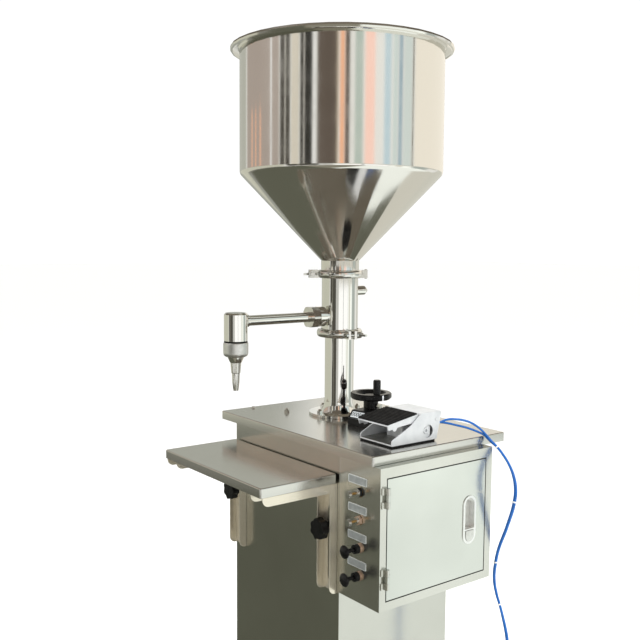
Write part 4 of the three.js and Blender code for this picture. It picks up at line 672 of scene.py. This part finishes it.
def setLabelPlates():
    p = labelPlates
    first = makeLabelPlate()
    plates = [first] + [copyOf(first) for height in p["heights"][1:]]
    for index, (plate, height) in enumerate(zip(plates, p["heights"])):
        plate.location = place(p["centreX"], cabinetFace - p["size"][1] / 2, height)
        finishPiece(plate, f"labelPlate{index}", labelMetal, "frame", 30)
    print("label plates set:", len(plates))


setLabelPlates()

# The position indicator's window, with its counter
indicatorWindow = {
    "heading": 8,
    "foot": (-44, 12),  # lower edge of the sloped face: distance from the axis, height
    "head": (-31, 27),
    "frame": (35, 17.5, 1.6),
    "rim": 2.2,
    "depth": 0.8,
    "edge": 0.3,
    "slack": 0.1,
    "digits": "00000",
    "digitHeight": 8.5,
    "textShare": 1.4,  # the text's size as a share of its digits' height
    "ink": 0.12,
}


def makeIndicatorWindow():
    w = indicatorWindow
    turn = Matrix.Rotation(math.radians(w["heading"]), 4, "Z")
    foot = Vector((0, w["foot"][0], w["foot"][1]))
    head = Vector((0, w["head"][0], w["head"][1]))
    up = (head - foot).normalized()
    right = Vector((1, 0, 0))
    outward = right.cross(up)
    middle = (foot + head) / 2
    onSlope = (
        Matrix.Translation(wheelAxis)
        @ turn
        @ Matrix.Translation((middle + outward * w["frame"][2] / 2) * mm)
        @ Matrix((right, up, outward)).transposed().to_4x4()
    )
    deselectAll()
    bpy.ops.mesh.primitive_cube_add(size=1, scale=[side * mm for side in w["frame"]])
    window = bpy.context.object
    bpy.ops.object.transform_apply(scale=True)
    selectFaces(window, lambda centre, normal: normal.z > facing)
    bpy.ops.mesh.inset(thickness=w["rim"] * mm)
    bpy.ops.mesh.extrude_region_move(TRANSFORM_OT_translate={"value": (0, 0, -w["depth"] * mm)})
    bpy.ops.object.mode_set(mode="OBJECT")
    applyModifier(window, "BEVEL", width=w["edge"] * mm, segments=2, limit_method="ANGLE")
    window.data.materials.append(blackNylon)
    glassLevel = (w["frame"][2] / 2 - w["depth"] + w["slack"]) * mm
    halfWide = (w["frame"][0] / 2 - w["rim"]) * mm
    paintFaces(
        window,
        windowPlastic,
        lambda c: -glassLevel < c.z < glassLevel and abs(c.x) < halfWide,
    )
    window.matrix_world = onSlope
    finishPiece(window, "indicatorWindow", blackNylon, "frame", 30)
    deselectAll()
    bpy.ops.object.text_add()
    digits = bpy.context.object
    digits.data.body = w["digits"]
    digits.data.size = w["digitHeight"] * w["textShare"] * mm
    digits.data.align_x = "CENTER"
    digits.data.align_y = "CENTER"
    digits.data.extrude = w["ink"] * mm
    bpy.ops.object.convert(target="MESH")
    digits.matrix_world = onSlope @ Matrix.Translation((0, 0, glassLevel))
    finishPiece(digits, "indicatorDigits", inkBlack, "frame", 30)


makeIndicatorWindow()

# Light index mark on the handwheel's rim
indexMark = {"angle": -6, "radius": 39.6, "size": (0.7, 3, 10), "height": 53.5, "edge": 0.2}


def makeIndexMark():
    m = indexMark
    angle = math.radians(m["angle"])
    deselectAll()
    bpy.ops.mesh.primitive_cube_add(size=mm, scale=m["size"])
    mark = bpy.context.object
    applyModifier(mark, "BEVEL", width=m["edge"] * mm, segments=2)
    mark.rotation_euler = (0, 0, angle)
    axisX, axisY = handwheelAxis
    mark.location = place(
        axisX + m["radius"] * math.cos(angle), axisY + m["radius"] * math.sin(angle), m["height"]
    )
    finishPiece(mark, "wheelIndexMark", tiePlastic, "spindle", 30)


makeIndexMark()
print("indicator and handwheel marks set")

# Camera, at the photograph's viewing angle
cameraView = {
    "spot": (1348.0, -1080.9, 346.5),
    "heading": 52.58,
    "pitch": -5.19,
    "roll": 0.42,
    "focal": 864.25,  # in pixels of a picture 640 wide
    "pictureWidth": 640,
    "sensor": 36,
    "farthest": 100,  # metres
}


def makeCamera():
    c = cameraView
    bpy.ops.object.camera_add(location=place(*c["spot"]))
    camera = bpy.context.object
    turn = (
        Matrix.Rotation(math.radians(c["heading"]), 4, "Z")
        @ Matrix.Rotation(math.radians(90 + c["pitch"]), 4, "X")
        @ Matrix.Rotation(math.radians(c["roll"]), 4, "Z")
    )
    camera.rotation_euler = turn.to_euler()
    camera.data.sensor_width = c["sensor"]
    camera.data.lens = c["focal"] / c["pictureWidth"] * c["sensor"]
    camera.data.clip_end = c["farthest"]
    bpy.context.scene.camera = camera


# Studio: a pale floor, soft lights, and the cards that the polished steel mirrors
studio = {
    "floor": 80,  # metres across
    "floorColour": "FAFAF8",
    "world": 1.05,
    "cardSteps": 14,
    "strengths": {  # of the cards and panes that are brighter than their colour alone
        "lowBrightWall": 1.3,
        "lowDoorWall": 1.35,
        "rightFloor": 1.28,
        "creamWall": 1.32,
        "copperPipe": 1.5,
        "pinkCurtain": 1.35,
        "glassPane": 1.2,
        "bluePane": 1.2,
        "mauveCurtain": 1.2,
        "copperStreakA": 1.6,
        "copperStreakB": 1.6,
        "copperStreakC": 1.6,
    },
    # Cards that stand round the machine and show only in the polished steel: distance, foot and
    # top in metres, then for each its edges in degrees from the camera's side, positive to its
    # right, how soft the edges are as a share of its width, and the colour
    "walls": [
        (3.0, 0.0, 3.6, [
            ("baseWall", -180, 180, 0, "FAFAF6"),
        ]),
        (2.75, 0.0, 1.3, [
            ("lowDoorWall", 50, 104, 0.12, "F6FAF5"),
            ("lowBackWall", 128, 184, 0.1, "DAD9CE"),
            ("lowLeftWall", 180, 232, 0.1, "A9ABA3"),
        ]),
        (2.7, 0.0, 0.3, [
            ("darkPlinth", -150, -62, 0.2, "83827A"),
        ]),
        (2.7, 0.3, 1.3, [
            ("lowPaleWall", -160, -62, 0.06, "D2D2C2"),
            ("lowDoorway", -64, -22, 0.12, "55534C"),
            ("lowPost", -25, -7, 0.3, "CBCAC6"),
        ]),
        (2.7, 0.3, 0.98, [
            ("lowBrightWall", -9, 52, 0.06, "FFFFFF"),
        ]),
        (2.7, 0.96, 1.3, [
            ("palePanel", -9, 128, 0.02, "DAD8CE"),
        ]),
        (2.6, 0.3, 1.3, [
            ("doorShade", 76, 112, 0.3, "B9C1BC"),
            ("lowStreak", -49, -45, 0.4, "9A968B"),
            ("lowGreyStreak", 19, 24, 0.45, "C4C6C6"),
            ("lowCreamStreak", 56, 70, 0.4, "E9E7DC"),
        ]),
        (2.5, 2.35, 3.6, [
            ("highShade", -180, 180, 0, "6A6257"),
        ]),
        (2.7, 1.3, 3.6, [
            ("paleWall", -180, -126, 0.12, "BFC0B6"),
            ("mauveCurtain", -128, -69, 0.05, "A89D95"),
            ("leftPost", -70, -56, 0.12, "47433C"),
            ("creamPost", -56, -46, 0.12, "E6DFD0"),
            ("doorway", -46, -31, 0.1, "302F2B"),
            ("pillar", -28, -5, 0.12, "6B6057"),
            ("pillarShade", -19, -8, 0.3, "463E38"),
            ("pillarEdge", -9, -4, 0.2, "C4B9A5"),
            ("pipeShade", 1, 8, 0.35, "5A5048"),
            ("glassPane", 11, 22, 0.25, "B5C2BA"),
            ("pinkCurtain", 21, 35, 0.25, "F0C9BB"),
            ("bluePane", 42, 53, 0.3, "BCD2DC"),
            ("mintPane", 53, 60, 0.3, "DDEBE8"),
            ("deepBluePane", 59, 67, 0.35, "A9C0CD"),
            ("paleMintPane", 66, 79, 0.2, "E2EDEA"),
            ("rightPost", 78.5, 81, 0.2, "6E6A60"),
            ("creamWall", 81, 182, 0.03, "E6E0D4"),
        ]),
        (2.6, 1.3, 3.6, [
            ("leftLamp", -83, -80, 0.3, "FFFFFF"),
            ("leftRail", -63.6, -62, 0.3, "E8E4DA"),
            ("doorRail", -41.5, -40, 0.3, "F4F0E8"),
            ("frontLamp", -31, -28, 0.3, "FFFFFF"),
            ("copperPipe", -4.5, 3, 0.4, "DFA581"),
        ]),
        (2.6, 1.42, 1.78, [
            ("copperStreakA", -116, -113, 0.4, "DDA88A"),
            ("copperStreakB", -108, -105, 0.4, "D9A485"),
            ("copperStreakC", -100, -97, 0.4, "DDA88A"),
        ]),
    ],
    # Panes that lie flat: left, right, front, back and height in metres, and the colour
    "panes": [
        ("leftFloor", -3.2, 0.30, -3.2, 1.2, 0.004, "66675A"),
        ("frontFloor", 0.30, 3.2, -3.2, -0.5, 0.004, "918E80"),
        ("rightFloor", 0.30, 3.2, -0.5, 3.2, 0.004, "EDF1EC"),
        ("backFloor", -3.2, 0.30, 1.2, 3.2, 0.004, "DEDCD1"),
        ("ceiling", -3.2, 3.2, -3.2, 3.2, 3.6, "7E766A"),
    ],
    # Place and size in metres, power in watts, and whether the steel mirrors it
    "lights": [
        ("keySoftbox", (-1.2, -3.0, 3.2), 2.2, 70, True),
        ("rightSoftbox", (3.2, 0.2, 2.6), 1.8, 40, True),
        ("topSoftbox", (0.0, 0.0, 3.4), 2.4, 60, False),
    ],
    "lightsAim": (0, 0, 0.9),
}


def glossOnly(thing):
    # Shows in reflections and nowhere else
    thing.visible_camera = thing.visible_diffuse = thing.visible_shadow = False
    thing.visible_transmission = False


def glowMaterial(name, colour, softness=0):
    material = bpy.data.materials.new(name)
    material.use_nodes = True
    tree = material.node_tree
    tree.nodes.remove(tree.nodes["Principled BSDF"])
    surface = tree.nodes["Material Output"].inputs["Surface"]
    strength = studio["strengths"].get(name, 1)
    glow = addNode(
        tree, "ShaderNodeEmission", {"Color": linearColour(colour), "Strength": strength}
    ).outputs["Emission"]
    if not softness:
        tree.links.new(glow, surface)
        return material
    across = addNode(tree, "ShaderNodeSeparateXYZ", None, {
        "Vector": addNode(tree, "ShaderNodeTexCoord").outputs["UV"]
    })
    fromMiddle = addNode(tree, "ShaderNodeMath", {"operation": "SUBTRACT", 1: 0.5})
    tree.links.new(across.outputs["X"], fromMiddle.inputs[0])
    outwards = addNode(tree, "ShaderNodeMath", {"operation": "ABSOLUTE"})
    tree.links.new(fromMiddle.outputs["Value"], outwards.inputs[0])
    fade = addNode(
        tree,
        "ShaderNodeMapRange",
        {"interpolation_type": "SMOOTHSTEP", "From Min": 0.5 - softness, "From Max": 0.5},
        {"Value": outwards.outputs["Value"]},
    )
    clear = addNode(tree, "ShaderNodeBsdfTransparent").outputs["BSDF"]
    mix = addNode(tree, "ShaderNodeMixShader", None, {"Fac": fade.outputs["Result"]})
    tree.links.new(glow, mix.inputs[1])
    tree.links.new(clear, mix.inputs[2])
    tree.links.new(mix.outputs["Shader"], surface)
    return material


def makeCard(distance, low, high, name, start, end, softness, colour):
    cameraSide = cameraView["heading"] - 90
    deselectAll()
    bpy.ops.mesh.primitive_grid_add(x_subdivisions=studio["cardSteps"], y_subdivisions=1, size=1)
    card = bpy.context.object
    for vertex in card.data.vertices:
        angle = math.radians(cameraSide + start + (end - start) * (vertex.co.x + 0.5))
        height = low + (high - low) * (vertex.co.y + 0.5)
        vertex.co = (
            columnFoot.x + distance * math.cos(angle),
            columnFoot.y + distance * math.sin(angle),
            height,
        )
    card.name = name
    card.data.materials.append(glowMaterial(name, colour, softness))
    glossOnly(card)


def makePane(name, left, right, front, back, height, colour):
    deselectAll()
    bpy.ops.mesh.primitive_plane_add(
        size=1, location=((left + right) / 2, (front + back) / 2, height)
    )
    pane = bpy.context.object
    pane.scale = (right - left, back - front, 1)
    pane.name = name
    pane.data.materials.append(glowMaterial(name, colour))
    glossOnly(pane)


def makeStudio():
    s = studio
    deselectAll()
    bpy.ops.mesh.primitive_plane_add(size=s["floor"])
    floor = bpy.context.object
    floor.name = "studioFloor"
    floor.data.materials.append(
        makeMoulded("paleFloor", s["floorColour"], s["floorColour"], 0.8, 8, 0.01)
    )
    for distance, low, high, cards in s["walls"]:
        for card in cards:
            makeCard(distance, low, high, *card)
    for pane in s["panes"]:
        makePane(*pane)
    for name, spot, size, power, mirrored in s["lights"]:
        bpy.ops.object.light_add(type="AREA", location=spot)
        light = bpy.context.object
        light.name = name
        light.data.size = size
        light.data.energy = power
        light.visible_glossy = mirrored
        aim = Vector(s["lightsAim"]) - Vector(spot)
        light.rotation_euler = aim.to_track_quat("-Z", "Y").to_euler()
    world = bpy.data.worlds.new("softWorld")
    world.use_nodes = True
    world.node_tree.nodes["Background"].inputs["Color"].default_value = (1, 1, 1, 1)
    world.node_tree.nodes["Background"].inputs["Strength"].default_value = s["world"]
    bpy.context.scene.world = world
    bpy.context.scene.view_settings.view_transform = "Standard"


makeCamera()
makeStudio()
print("camera and studio set")
